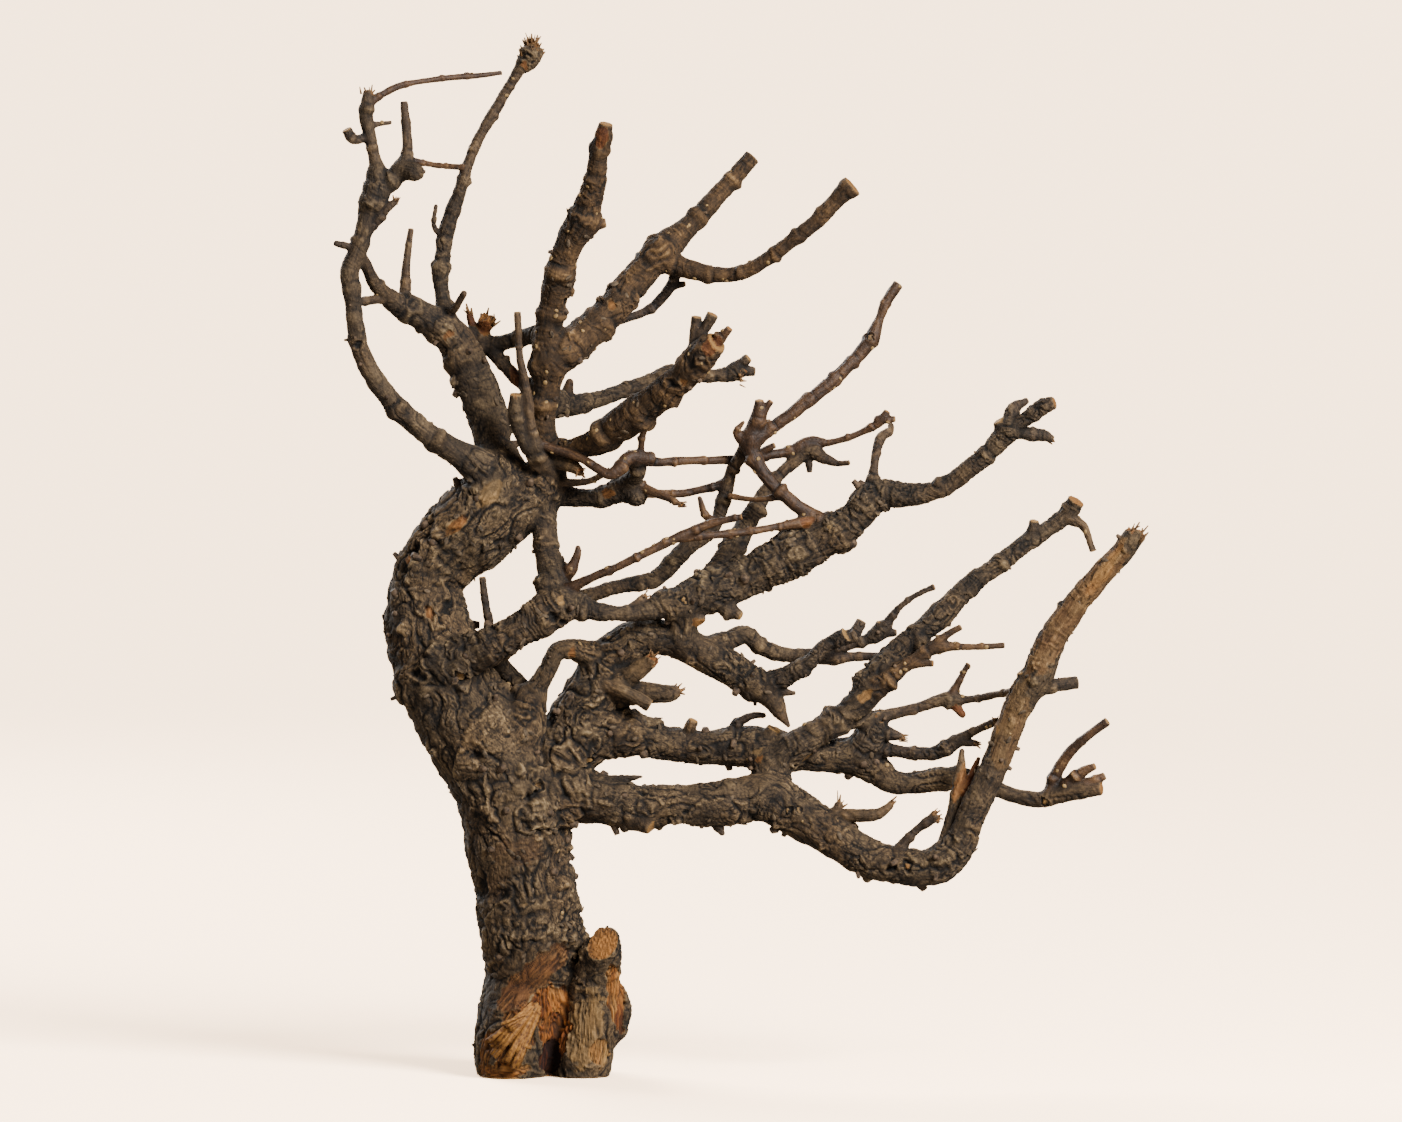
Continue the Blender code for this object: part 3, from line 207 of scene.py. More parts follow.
CROWN_MIDDLE = (
    Limb("crotch", OLD, ROUND, (
        (-21, 3, 161, 11.6), (-10.6, 1, 166.6, 9), (-2.5, 0, 174, 6.6), (1, -1, 181, 5),
    )),
    Limb("mast", OCHRE, CUT, (
        (0, 0, 176, 5.6), (1, -1, 184, 4.2), (-0.4, -1, 191, 3.5), (-0.3, -1.5, 198, 3.4),
        (0.6, -2, 204.5, 4.2), (0.8, -2.5, 210, 5.2), (1.4, -3, 216, 5.2), (1.3, -5, 222, 3.9),
        (2.2, -7, 228, 3.9), (4.2, -9, 235, 4.6), (5.2, -11, 240.7, 4.2), (7.6, -13, 246.7, 4.4),
        (11.2, -15, 252.7, 4.8), (12.9, -17, 258.1, 3.9), (15, -19.5, 264.7, 3.1), (15.9, -22, 271.7, 2.9),
        (17.5, -24.6, 278.7, 2.5), (18.1, -25.4, 281.3, 1.7),
    )),
    Limb("mast_spur", OCHRE, CUT, ((12, -16, 251, 2.2), (18, -16, 252.1, 1.4))),
    Limb("bough", OCHRE, CUT, (
        (1.4, -3, 210.6, 5), (7.9, -2, 215.6, 5.3), (13.4, 0, 220.6, 5.1), (19.4, 2, 226.2, 4.8),
        (24.6, 4, 232, 4.7), (29.4, 5, 238, 4.6), (34, 6, 243, 5.2), (39.4, 8, 248, 3.7),
        (45.4, 10, 253.6, 3), (50.4, 12, 259.1, 2.8), (55.4, 14, 264.6, 2.6), (61, 16, 270.8, 2.4),
    )),
    Limb("bough_tine", OCHRE, CUT, (
        (33.3, 5.5, 241.5, 3.4), (38.7, 4.5, 239.1, 3), (43.3, 3, 237.5, 2.8), (49.3, 1.4, 236.5, 2.4),
        (55.3, 0, 236.5, 2.2), (61.3, -2, 238.7, 2.1), (67.3, -4, 242.5, 2.2), (73.3, -6, 247.1, 2.2),
        (79.9, -8, 252.5, 2.3), (85.7, -9.4, 258.9, 2.5), (90.3, -10.5, 262.9, 3.1),
    )),
    Limb("bough_loop", DARK, CUT, (
        (17, 4, 222.6, 2.2), (24, 9, 223.4, 1.3), (30, 11, 225.6, 1.4), (34, 11, 229, 1.5),
        (36.8, 9, 232.8, 1.6), (39.6, 5, 238.8, 1.4),
    )),
    Limb("bough_loop_nib", DARK, CUT, ((37, 9, 232.6, 1.2), (41.2, 8, 233.6, 0.9))),
    Limb("back_arm", RIDGED, TORN, (
        (-0.8, -1, 198.8, 3.4), (2.6, 4.4, 198.2, 4.2), (7.2, 9, 197.6, 3.4), (13.2, 13, 198.6, 2.6),
        (18.7, 15.5, 200.2, 2.3), (24.7, 18, 202.2, 2.2), (31.2, 20, 204.6, 2.3), (36.8, 21, 206.8, 2.6),
        (42.2, 22, 206.6, 2.2), (47.2, 22, 205.8, 1.9), (52.2, 23, 206.1, 2.1), (57.6, 24, 207.1, 2.8),
    )),
    Limb("back_arm_knob", DARK, CUT, ((56, 24, 208, 2), (60, 23, 211.2, 1.4))),
    Limb("back_arm_tooth", DARK, CUT, ((56, 24, 207.6, 2), (61.8, 25, 207, 1.4))),
    Limb("back_arm_bud", OCHRE, ROUND, ((6, 9, 200, 2.2), (7, 8, 204.4, 1.2))),
    Limb("horn", OCHRE, CUT, (
        (1.5, -2, 182.5, 4.4), (9.1, -7, 185.5, 3.2), (14.5, -11, 187.3, 3.9), (19.5, -15, 190.9, 4.8),
        (24.5, -19, 194.9, 5.2), (29.5, -23, 198.5, 4.7), (34.5, -27, 202.3, 4.4), (39.5, -31, 206.5, 4.4),
        (43.5, -34.5, 211.1, 4.5), (46.9, -37.5, 214.9, 4.4), (50.5, -40, 217.9, 3.1),
    )),
    Limb("horn_tip", RED, CUT, ((49.6, -39.4, 217.1, 1.8), (54.2, -42, 222.1, 1.1))),
    Limb("horn_stub", SMOOTH, CUT, (
        (43.2, -34, 211.7, 2.6), (43.8, -35, 218.7, 1.5), (44.6, -36, 225.3, 1.6),
    )),
    Limb("horn_fork", SMOOTH, CUT, (
        (44, -35, 218.3, 1.6), (46.6, -36, 221.1, 1.5), (49.2, -37, 226.1, 1.8),
    )),
    Limb("rod", SMOOTH, CUT, (
        (1.5, -4, 179, 3), (-2.6, -8.5, 186, 2.1), (-4.4, -11, 193, 1.6), (-5, -12.5, 200, 1.6),
        (-6.2, -14, 207, 1.3), (-7.4, -15, 214, 1.1), (-8, -16, 226, 1.05),
    )),
    Limb("rod_stub", SMOOTH, CUT, (
        (-1.4, -5, 181, 3), (-5.6, -9, 187.6, 2.4), (-8.4, -11.5, 195, 2.3), (-8.5, -13, 201.8, 1.9),
    )),
    Limb("knee_twig", RED, CUT, (
        (-3, -8, 187.4, 1.6), (3.4, -9.6, 185.2, 1.4), (10.3, -12, 183, 1.3), (15.3, -14.6, 180.2, 1.4),
        (18.9, -16, 178.3, 1.6), (21.9, -15, 180.1, 1.9), (24.9, -13.4, 183.3, 2.1),
        (28.7, -11, 182.9, 2.1), (33.3, -8, 181.5, 1.4), (41.3, -4, 181.8, 1.25), (50.3, 1, 181.7, 1.25),
        (58.3, 6, 181.9, 1.4), (64.3, 9.4, 182.7, 1.5), (70.3, 11.4, 183.5, 1.5), (74.9, 12, 185.1, 1.9),
        (78.9, 12, 186.7, 1.7), (83.3, 11.6, 186.5, 1.1), (89.3, 10.8, 188, 1), (94.3, 10.2, 190.1, 1.1),
        (98.7, 9.6, 192.7, 1.4), (100.9, 9.2, 195.9, 1),
    )),
    Limb("knee_end", RED, CUT, ((98, 9.6, 193.4, 1.2), (103.2, 8.8, 193.5, 0.9))),
    Limb("knee_spike", RED, CUT, (
        (28, -11, 183, 1.2), (28.4, -13, 188, 1), (29.4, -14, 192, 1.1), (31.2, -15, 194.4, 1.6),
    )),
    Limb("knee_drop", RIDGED, ROUND, ((26.4, -11, 182, 2.2), (27, -7, 178.4, 2.4), (24.6, -3, 175.6, 2.6))),
    Limb("fork_nib", RED, CUT, ((63, 9, 183.4, 1.2), (67.6, 8, 186, 0.9))),
    Limb("cut_tongue", BARE, TORN, ((3, -5, 182.6, 2.6), (8.6, -9, 180, 1.9), (10.4, -11, 178.6, 1.4))),
    Limb("splint", BARE, TORN, ((0, -2, 175.4, 1.6), (11.6, -5, 175.6, 1), (17.6, -8, 178.2, 0.9))),
)

MIDDLE = (
    Limb("post", RIDGED, ROUND, (
        (0, 0, 175, 5.2), (-0.6, -1, 167, 4.1), (0, -3, 160, 3.6), (0.7, -5.5, 154, 3.8),
        (2.2, -8.5, 148.6, 4.6), (2.6, -12, 142, 5),
    )),
    Limb("post_spur", RED, ROUND, (
        (3.4, -10, 145.6, 2.6), (7.6, -12, 150.4, 1.8), (9.4, -13, 154.4, 1.2), (9.6, -13, 156.6, 0.8),
    )),
    Limb("bracket", DARK, ROUND, (
        (-2, 0, 173, 5), (5, 2, 171.4, 3.3), (10.5, 3, 170.5, 2.9), (15.5, 2, 170.6, 2.9),
        (20, 1, 172.4, 3.6), (24, 0, 173.6, 4.3), (26.6, -2, 171.6, 3.4),
    )),
    Limb("bracket_rod", RED, ROUND, (
        (25, 0, 172.2, 1.8), (32, 1.6, 171.8, 1.3), (39, 2.6, 171.8, 1.2), (46, 3, 173, 1.2),
        (53.4, 3, 175, 1.5),
    )),
    Limb("bracket_torn", RED, TORN, (
        (25, -2, 175, 1.8), (31, -5, 173, 1.4), (36, -8, 171, 1.1), (40.2, -10, 169, 0.7),
    )),
    Limb("sling", RIDGED, ROUND, (
        (-36, -4, 116, 9), (-30, -8, 121, 8), (-23.6, -11.5, 124.6, 6.4), (-17, -14, 127.4, 5.3),
        (-9, -15, 131.8, 5.1), (-1, -15, 136.6, 5.4), (5, -14.4, 139.8, 5.4), (10.5, -14, 138.8, 3.7),
        (17.5, -13.6, 137.6, 2.6), (25, -12.4, 137.3, 2.3), (30.4, -10.6, 138, 2.9), (35, -9, 139.8, 4.3),
        (40, -7.6, 140.6, 5.1), (45, -6, 142.2, 5.6), (50.4, -5, 144.2, 6), (56, -4, 146, 5.8),
        (61, -3.2, 148, 5.9), (66, -3, 150.8, 6.5), (71, -3, 153.4, 6.9), (76, -3.4, 156, 6.5),
        (81.5, -4, 158.7, 5.9), (86.5, -4.6, 161.3, 5.8), (91.1, -5.2, 165.1, 4.9),
        (95.1, -5.8, 170.1, 5.2), (100.1, -6.4, 172.3, 4.2), (105.9, -7.4, 171.8, 3.8),
        (111.5, -8.4, 172.5, 3), (118.1, -9.4, 174.9, 2.8), (124.5, -10.4, 179.5, 2.8),
        (130.5, -11.2, 184.9, 2.8), (136.1, -12, 191.1, 3.7),
    )),
    Limb("hand_knob", DARK, CUT, ((135.1, -12, 190.2, 2.4), (132.7, -13, 193.8, 1.5))),
    Limb("hand_left", DARK, CUT, (
        (136.1, -12, 192.2, 2.4), (137.5, -10.4, 197.2, 1.9), (141.8, -9, 199.9, 0.9),
    )),
    Limb("hand_middle", DARK, CUT, (
        (137.9, -12.6, 192.6, 2.4), (142.5, -14.4, 195.4, 2.1), (146.3, -16, 198.4, 2.4),
        (149.5, -17, 199.6, 1.5),
    )),
    Limb("hand_right", DARK, TORN, (
        (137.5, -12, 191, 2.4), (143.1, -10.6, 189.8, 1.9), (146.1, -9.8, 189.6, 1.9),
        (149.1, -9, 188.2, 1),
    )),
    Limb("hand_thumb", RIDGED, CUT, (
        (95.9, -5.6, 172.6, 2.6), (96.5, -4, 179.2, 1.4), (97.5, -2, 185, 1.3), (98.9, 0, 188.4, 1.6),
        (101.5, 3, 190.4, 1.2), (101.7, 6, 192, 0.8),
    )),
    Limb("lintel", RIDGED, ROUND, (
        (4, -12, 141, 3.6), (12.4, -8, 142.2, 2.2), (20.4, -4, 144.5, 2.1), (28, -1, 145.6, 2.3),
        (32.8, 1, 147, 2.6), (37, 2.4, 151, 2.6), (41.8, 3.4, 156, 2.6), (47, 3.6, 159.6, 2.3),
        (50.4, 3.4, 163.6, 2), (52, 3.2, 168.6, 2.1), (53.8, 2.6, 174.4, 1.8), (55, 1.4, 179, 1.7),
        (57.4, -1, 183, 1.9), (59.8, -3, 187, 2.4),
    )),
    Limb("lintel_thorn", RED, ROUND, ((49, 2, 163.6, 1.6), (46.8, 0, 166, 1.1), (45.4, -1.4, 170.6, 0.8))),
    Limb("front_twig", RED, CUT, (
        (3, -13, 142, 2.6), (12.6, -16.6, 147.5, 1.4), (21.2, -18.4, 151.3, 1.25), (30.6, -19, 155.9, 1.25),
        (40.2, -18, 160.5, 1.4), (48.6, -17.6, 163.9, 1.3), (57.8, -18.6, 166.1, 0.9),
    )),
    Limb("cross_twig", RED, CUT, (
        (40.3, -17.6, 159.8, 1.5), (48.3, -15.6, 160.4, 1.2), (56.3, -12.8, 161, 1.15),
        (63.3, -10.6, 161.8, 1.1), (70.3, -8.4, 163, 1.2), (78.3, -6, 164.2, 2.2),
    )),
    Limb("brace", RED, CUT, (
        (82.4, -4.6, 163.1, 2.6), (76.8, -6, 166.7, 2.1), (71.8, -7, 170.5, 2), (67.2, -7, 174.7, 2),
        (63.2, -6, 179.7, 2.1), (60.8, -4.6, 184.5, 2.4), (60.4, -4, 188.5, 3.2),
    )),
    Limb("brace_thorn", RED, ROUND, ((59, -4, 187.4, 2.2), (56.2, -5, 190.2, 1.2), (58.2, -6, 193.2, 0.5))),
    Limb("brace_knob", RED, CUT, ((60.6, -4, 189.6, 2.6), (62.8, -5, 195.4, 2.2), (62.9, -6, 199.8, 1.3))),
    Limb("brace_peg", RED, CUT, ((63.4, -5, 195, 1.3), (66.4, -6, 199.6, 0.9))),
    Limb("brace_rung", RED, ROUND, ((70, -7, 171.4, 1.2), (62, -4.6, 170.4, 0.8), (54.4, -1, 171.2, 0.9))),
    Limb("red_rod", RED, CUT, (
        (61.1, -4, 188, 2.9), (66.5, -3.4, 191.4, 2), (71.1, -2.8, 194.6, 1.9), (76.5, -2, 198.8, 2.1),
        (81.1, -1, 202.2, 2.1), (86.1, 0.4, 206.6, 2), (90.9, 2, 211.3, 1.9), (95.1, 3.4, 216, 2.2),
        (96.9, 4, 219.2, 2.1), (98.5, 4.6, 223.6, 1.4), (100.7, 5.4, 228.6, 1.5), (104, 6.4, 233.6, 1.6),
    )),
    Limb("rear_bough", RIDGED, CUT, (
        (47.5, -3, 144.5, 4.5), (51.3, 0, 150.1, 3.6), (54.5, 2.6, 155.3, 3.5), (57.9, 5, 160.5, 3.2),
        (61.3, 7.4, 165.9, 2.8), (64.3, 9, 171.1, 2.3), (68.3, 10.4, 176.3, 1.9), (72.9, 11.6, 180.5, 1.9),
        (77.7, 12, 183.9, 2.3), (81.9, 11, 181.9, 1.8), (85.9, 10, 180.5, 1), (89.7, 9, 180.6, 0.9),
    )),
    Limb("rear_knot", DARK, ROUND, ((55.4, 4, 158, 2.4), (57.6, 1.4, 155.6, 1.9))),
    Limb("rear_peg", DARK, CUT, ((77.6, 12, 183.4, 1.4), (77.9, 12, 177.6, 0.8))),
    Limb("lintel_tongue", BARE, TORN, ((25, -12, 138, 1.8), (29.4, -10, 142, 1.2))),
    Limb("sling_peg", RIDGED, CUT, ((44, -6, 138.4, 2.8), (45.6, -8.4, 134.4, 1.5))),
    Limb("sling_spur", RIDGED, CUT, ((49, -5, 141.6, 3.2), (54, -6.6, 138, 2.4), (57.6, -8, 136.2, 1.3))),
    Limb("sling_wart", RIDGED, ROUND, ((76, -5, 155.6, 3), (80, -7.4, 152.8, 1.1))),
    Limb("splinter", DARK, CUT, (
        (-4, 1, 112, 3), (-9, 2, 116.4, 2.7), (-13, 2.6, 121, 2.5), (-15.4, 1, 127, 1.6),
        (-16.8, 0, 134.6, 1.3), (-18, 0, 141, 1.15), (-18.6, 0, 147.4, 1),
    )),
)

LOWER = (
    Limb("web", OLD, ROUND, ((-14, -4, 96, 11), (-7, -6, 104, 7), (-5, -6, 111.6, 5))),
    Limb("handle", BARE, ROUND, (
        (-5, -6, 109, 4.4), (-2, -7, 116, 3), (1, -7.6, 121.4, 2.7), (3.8, -7.6, 125.8, 2.8),
        (7.6, -6.6, 126.4, 2.9), (11.6, -4, 125.4, 3.6), (17, -1, 123, 5),
    )),
    Limb("arcade", OLD, ROUND, (
        (-4, -2, 84, 9), (3, -1, 92, 9), (7, 0, 100, 8.6), (11, 0, 108, 8.4), (15, 0, 115, 8),
        (19, 0, 121.4, 7.4), (23.4, -1, 126.6, 6.8), (28.4, -2, 129.4, 6), (34, -3, 129.8, 5.2),
        (39, -3, 128.4, 5), (44, -3, 126, 5), (49, -2, 123.4, 5.1), (54, -1.4, 120.6, 5.1),
        (59, -1, 117.6, 4.8), (63.4, -1.4, 115.2, 4.5), (66.4, -2, 111.8, 3.4), (68.8, -3, 108, 2.3),
        (71.5, -4, 103.8, 0.7),
    )),
    Limb("graft", OLD, ROUND, ((40, -7, 139, 4.4), (40.6, -4.4, 130, 4.2))),
    Limb("arcade_stub", BARE, TORN, ((20, -4, 115, 4), (27, -7, 120, 2.8), (31.8, -9, 123.6, 2))),
    Limb("arcade_prow", OLD, TORN, (
        (20, -2, 113, 4.4), (30, -4, 113.4, 3.2), (36, -5, 113.2, 2.6), (39.4, -5, 114.2, 1.5),
    )),
    Limb("arcade_log", BARE, CUT, ((18, -7, 115.8, 1.8), (24.4, -9, 113.6, 2), (30.8, -9, 110, 1.9))),
    Limb("arcade_tooth", DARK, ROUND, ((66, -2, 113.6, 1.6), (73, -3, 113.3, 0.7))),
    Limb("creeper", RIDGED, CUT, (
        (47.9, -2, 126, 3.9), (53.3, 1, 128.4, 3), (58.7, 2.6, 130.2, 2.7), (62.3, 3.6, 127.6, 2.5),
        (66.3, 4.6, 125.2, 2.5), (71.7, 5.6, 123.9, 2.2), (77.7, 6.6, 123.7, 2), (83.9, 7.4, 122.8, 1.9),
        (90.3, 8.4, 123.2, 1.5), (98.9, 9, 123.4, 1.1),
    )),
    Limb("creeper_fork", DARK, CUT, (
        (80.4, 7, 123.1, 1.8), (87.4, 7.4, 125.9, 1.4), (93.8, 7, 128, 1.6), (98.4, 6.4, 130.5, 2.5),
        (101.8, 5.4, 134.9, 1.3), (104.8, 4.6, 138.5, 0.95), (109.4, 3.6, 141.9, 0.85),
        (114.8, 3, 144.3, 0.95),
    )),
    Limb("creeper_ear", DARK, CUT, ((98.4, 6.4, 130.3, 1.8), (98.8, 6, 133.9, 1.3))),
    Limb("creeper_toe", DARK, CUT, ((99, 6.4, 130.3, 1.6), (103.6, 6, 130.6, 1))),
    Limb("two_lobe", DARK, CUT, (
        (61.4, -1, 114.3, 4), (68.4, -2.6, 117.1, 3.2), (73.4, -4.4, 119.7, 2.8), (77.8, -6, 122.7, 2.4),
        (81.4, -6.6, 126.7, 2), (85, -7, 128.9, 2.2), (88.4, -8, 130.9, 2.3),
    )),
    Limb("two_lobe_upper", DARK, CUT, (
        (86.4, -7, 129.1, 1.8), (90.6, -5.6, 130.9, 1.9), (93.2, -4.6, 134.7, 1.6),
    )),
    Limb("upper_run", OLD, CUT, (
        (2, 0, 93, 9), (12, 0, 99.6, 8.6), (20, 1, 101.6, 7.8), (27, 2, 100.4, 6.2), (34, 3, 98.4, 5.2),
        (41, 4, 97.4, 5), (47, 4, 96.5, 4.9), (54, 4, 97, 5.6), (61, 3.6, 97, 6), (68, 3, 96, 5.8),
        (75, 4, 95.2, 5.4), (81, 5, 94.4, 5.2), (87, 6, 94.2, 5.2), (92.6, 6.6, 93, 5.2),
        (97.2, 7, 90, 4.6), (101.6, 6.6, 86.8, 3.7), (106.2, 6, 86, 3.2), (111.6, 5.6, 86.6, 3.3),
        (117.2, 5.2, 87.4, 3.5), (123.2, 5, 87.6, 3.2), (129.2, 4.4, 86, 2.5), (135.2, 3, 83.6, 2.3),
        (141.2, 1.8, 81.9, 2.2), (146.6, 1, 81.6, 2.4), (151.2, 0, 83.4, 2.8), (156.2, -1, 84.6, 2.9),
        (160.6, -2, 84.8, 2.5), (164, -3, 85, 1.8),
    )),
    Limb("run_twig", RED, CUT, (
        (148.5, 0.6, 82.6, 2.2), (150.3, 0, 88.6, 1.9), (153.3, -1.6, 94.2, 1.6), (157.1, -3.4, 98.4, 1.4),
        (161.1, -5, 101.8, 1.3), (165.5, -6, 105.2, 1.4),
    )),
    Limb("run_peg_near", RED, CUT, ((153.6, -1, 86, 2.2), (158, -2.6, 89.8, 1.6), (162, -4, 91.8, 1))),
    Limb("run_peg_far", RED, CUT, ((159.6, -2, 86.2, 1.8), (164.9, -2.6, 88.9, 1.1))),
    Limb("run_stub", BARE, CUT, ((41.4, 2, 100.4, 1.8), (43.6, 0.6, 105.2, 1.5))),
    Limb("run_curl", DARK, ROUND, (
        (54, 3, 100.6, 2.2), (57.6, 2, 104.6, 1.4), (61.4, 1, 106.4, 1.1), (64.2, 0.6, 106.4, 0.9),
    )),
    Limb("run_block", BARE, CUT, ((65.4, 1, 99.6, 2.4), (67.2, 0, 102.8, 1.8))),
    Limb("lower_run", OLD, TORN, (
        (-8, -3, 80, 11), (1, -3, 82.6, 9.4), (9, -4, 83.4, 8.2), (17, -5, 82, 7.2), (25, -6, 80, 6.7),
        (32, -7, 80.2, 6.1), (39, -7, 80.6, 5.8), (46, -7, 80.8, 6.1), (53, -6.6, 81.2, 6.7),
        (60, -6, 82.2, 6.8), (66, -6.2, 82, 6.9), (72, -7, 79.2, 6.9), (78, -8, 75.6, 6.6),
        (84, -9, 71.8, 6.2), (90, -10, 67.8, 5.8), (96, -11, 64.8, 5.6), (102, -11.6, 63.2, 5.4),
        (108, -12, 62.2, 5.3), (113.6, -12, 62.4, 5.4), (118.6, -12, 65.2, 5.4), (122.4, -12, 70.6, 4.6),
        (124.8, -12, 76.6, 4.2), (127.4, -12, 82.6, 4.2), (130.4, -12, 88.6, 4.1), (133, -12, 94.6, 3.9),
        (135.3, -12, 100.6, 4), (137.4, -12.2, 106.6, 4), (140.2, -12.6, 112.4, 4.4),
        (143.6, -13, 117.6, 4.6), (146.1, -13.6, 123.2, 4.6), (148.8, -14.2, 129.6, 4.2),
        (152.2, -15, 135.2, 4), (156.2, -16, 140.6, 3.8), (160.6, -17.2, 146, 3.5),
        (165, -18.4, 151.2, 3.4), (169.4, -19.6, 156, 3.3), (173.2, -20.6, 161.2, 3.2),
    )),
    Limb("run_strut", OLD, ROUND, ((64, 3, 95, 5), (67, -2, 87, 5.6))),
    Limb("run_cut", OLD, CUT, ((22, -7, 78.6, 4), (27.4, -9, 76.2, 3.2), (31.2, -10.4, 74.2, 2.3))),
    Limb("run_tooth", DARK, ROUND, ((49.4, -8, 76.6, 2.2), (52, -9, 72.4, 1))),
    Limb("run_thorn", DARK, ROUND, ((18, -4, 87, 2), (23, -5, 88, 1.2), (28.2, -6, 88.8, 0.5))),
    Limb("elbow_peg", SMOOTH, CUT, (
        (142.8, -12.6, 115.3, 3), (148.8, -11, 115.9, 2.1), (156.6, -9, 116.8, 1.9),
    )),
    Limb("elbow_nub", SMOOTH, CUT, ((141.2, -13, 116.3, 2), (139.5, -14, 120.1, 1.3))),
    Limb("elbow_wart", SMOOTH, CUT, ((135.2, -12.4, 102.1, 3), (132.2, -13, 102.7, 2))),
    Limb("split_shaft", BARE, ROUND, (
        (116.4, -11, 65.1, 4), (118.2, -9.6, 70.7, 2.4), (119.6, -8.6, 76.7, 2), (121, -7.6, 82.7, 1.9),
        (122, -7, 88.7, 1.8), (122.6, -7, 96.5, 0.7),
    )),
    Limb("split_tip", RUST, ROUND, (
        (122.8, -8, 84.7, 1.6), (125.2, -7, 88.7, 1.2), (127.4, -6.6, 94.1, 0.7),
    )),
    Limb("run_barb", BARE, TORN, (
        (81.6, -8.6, 75, 3), (87, -9.6, 77.6, 2), (93, -10.6, 77.6, 2), (98, -11, 78.2, 1.7),
        (102, -11, 81.2, 1),
    )),
    Limb("run_barb_ear", BARE, TORN, ((84.6, -9, 77, 2), (86.8, -8, 81.3, 1.1))),
    Limb("run_fist", DARK, TORN, (
        (103.6, -12, 66.6, 2.4), (107.2, -12.6, 71.6, 1.3), (110.8, -13, 74.8, 1.3),
        (114.8, -13.4, 77.8, 1.8),
    )),
    Limb("ladder", RIDGED, CUT, (
        (66.8, 0, 92.8, 5.3), (74.2, -1.6, 97.6, 4.6), (80.8, -1.6, 102, 4), (86.8, -1.4, 105.8, 3.9),
        (91.8, -1, 110.2, 4.1), (96.2, -0.4, 115.8, 4.9), (100.2, 0, 121, 4.6), (104.4, 0.6, 125.8, 3.6),
        (109.4, 1.4, 129.8, 3.5), (114.4, 2, 133.8, 3.7), (118, 2.6, 137.6, 3.5), (122.4, 3.4, 142, 3.1),
        (126.8, 4.2, 146, 3), (131.8, 5, 149.4, 2.6), (136.8, 6, 153.1, 2.7), (141.8, 7, 156.9, 2.7),
        (146.8, 7.8, 160.2, 2.5), (151.4, 8.4, 163.3, 2.5), (154.8, 8.6, 166.4, 2.5),
        (156.6, 7.6, 169.4, 2.7),
    )),
    Limb("ladder_stub", DARK, CUT, ((143.2, 7, 159.1, 2), (144.2, 6, 163.7, 1.5))),
    Limb("ladder_hook", BARE, CUT, (
        (154.4, 8, 164.5, 2.2), (158.6, 7.6, 162.1, 1.3), (160.1, 7.4, 158.9, 1), (161.6, 7, 154.5, 1),
    )),
    Limb("ladder_claw", OCHRE, CUT, (
        (97.6, -2, 115.5, 4), (104, -4, 120.3, 2.4), (108.6, -5, 123.1, 2), (112.6, -5.6, 125.9, 1.9),
        (116.6, -6, 127.1, 1.9), (121.6, -6, 127.1, 1.1), (128.6, -5.6, 127.1, 0.95),
        (135.2, -5, 127.5, 0.9),
    )),
    Limb("ladder_claw_tip", OCHRE, CUT, (
        (113.6, -5.6, 127.1, 1.6), (118.2, -6.6, 130.7, 1.2), (122.4, -7, 133.1, 0.9),
    )),
    Limb("ladder_claw_tear", OCHRE, CUT, ((107.2, -4.8, 122.1, 1.6), (114.2, -6.6, 122.3, 1))),
    Limb("rung", SMOOTH, ROUND, (
        (84.3, -2, 102.8, 3), (91.7, 1, 104.8, 2.1), (98.3, 3, 105.9, 1.9), (104.7, 4, 107.2, 1.7),
        (110.7, 4.6, 108.7, 1.6), (116.3, 4.8, 110.6, 1.9), (120.1, 4.6, 110.8, 2.3),
        (124.3, 3.8, 110.8, 1.2), (130.3, 1, 112, 1.1), (137.9, -7, 114.2, 1.2),
    )),
    Limb("rung_fork", RED, CUT, ((119.7, 4.6, 111.8, 1.8), (121.7, 4, 115.8, 1.1), (124.7, 3, 121.6, 0.8))),
    Limb("rung_hook", RUST, ROUND, ((120.3, 4.6, 109.8, 1.6), (122.9, 4, 106.4, 1.1))),
    Limb("chock", DARK, TORN, ((93, 5, 96, 4.6), (96.4, 4, 101.4, 4.4), (97.6, 3, 106, 2.4))),
    Limb("chock_tail", DARK, TORN, ((97, 4, 101.6, 3.2), (102, 3, 100.6, 1.8), (105.4, 2.4, 99.8, 1))),
    Limb("low_rung", DARK, TORN, (
        (94.3, 5.6, 95.4, 3.4), (101.3, 4, 95.8, 2), (108.3, 3, 95.1, 1.9), (114.3, 2, 95, 2),
        (118.5, 1, 97, 2.3), (121.9, 0, 99.2, 2), (126.3, -2.4, 102, 1.2), (132.9, -8.6, 105.4, 1.2),
    )),
    Limb("low_rung_claw", DARK, TORN, ((120.6, 0.4, 99, 1.8), (127.2, -0.6, 98.2, 0.9))),
)

BACK = (
    Limb("back_knot_low", OLD, CUT, ((-4, 10, 50, 8), (-2, 19, 55, 5))),
    Limb("back_knot_high", OLD, CUT, ((-33, 10, 134, 8), (-36, 19, 139, 4))),
    Limb("back_stub", OLD, CUT, ((-16, 6, 92, 10), (-12, 18, 99, 6), (-9, 27, 108, 4.2))),
)
LIMBS = STEM + CROWN_LEFT + CROWN_MIDDLE + MIDDLE + LOWER + BACK

# Spaces that the bark doesn't close: knots like a limb's.
HOLLOWS = (
    ((0.6, -24, -3, 2.2), (0.8, -20, 4, 2.0), (0.2, -17, 11, 0.9)),
    ((-8, -12, 176, 2.2), (-7.4, -7, 181, 2.8), (-8.2, -4, 187, 2.4)),
)


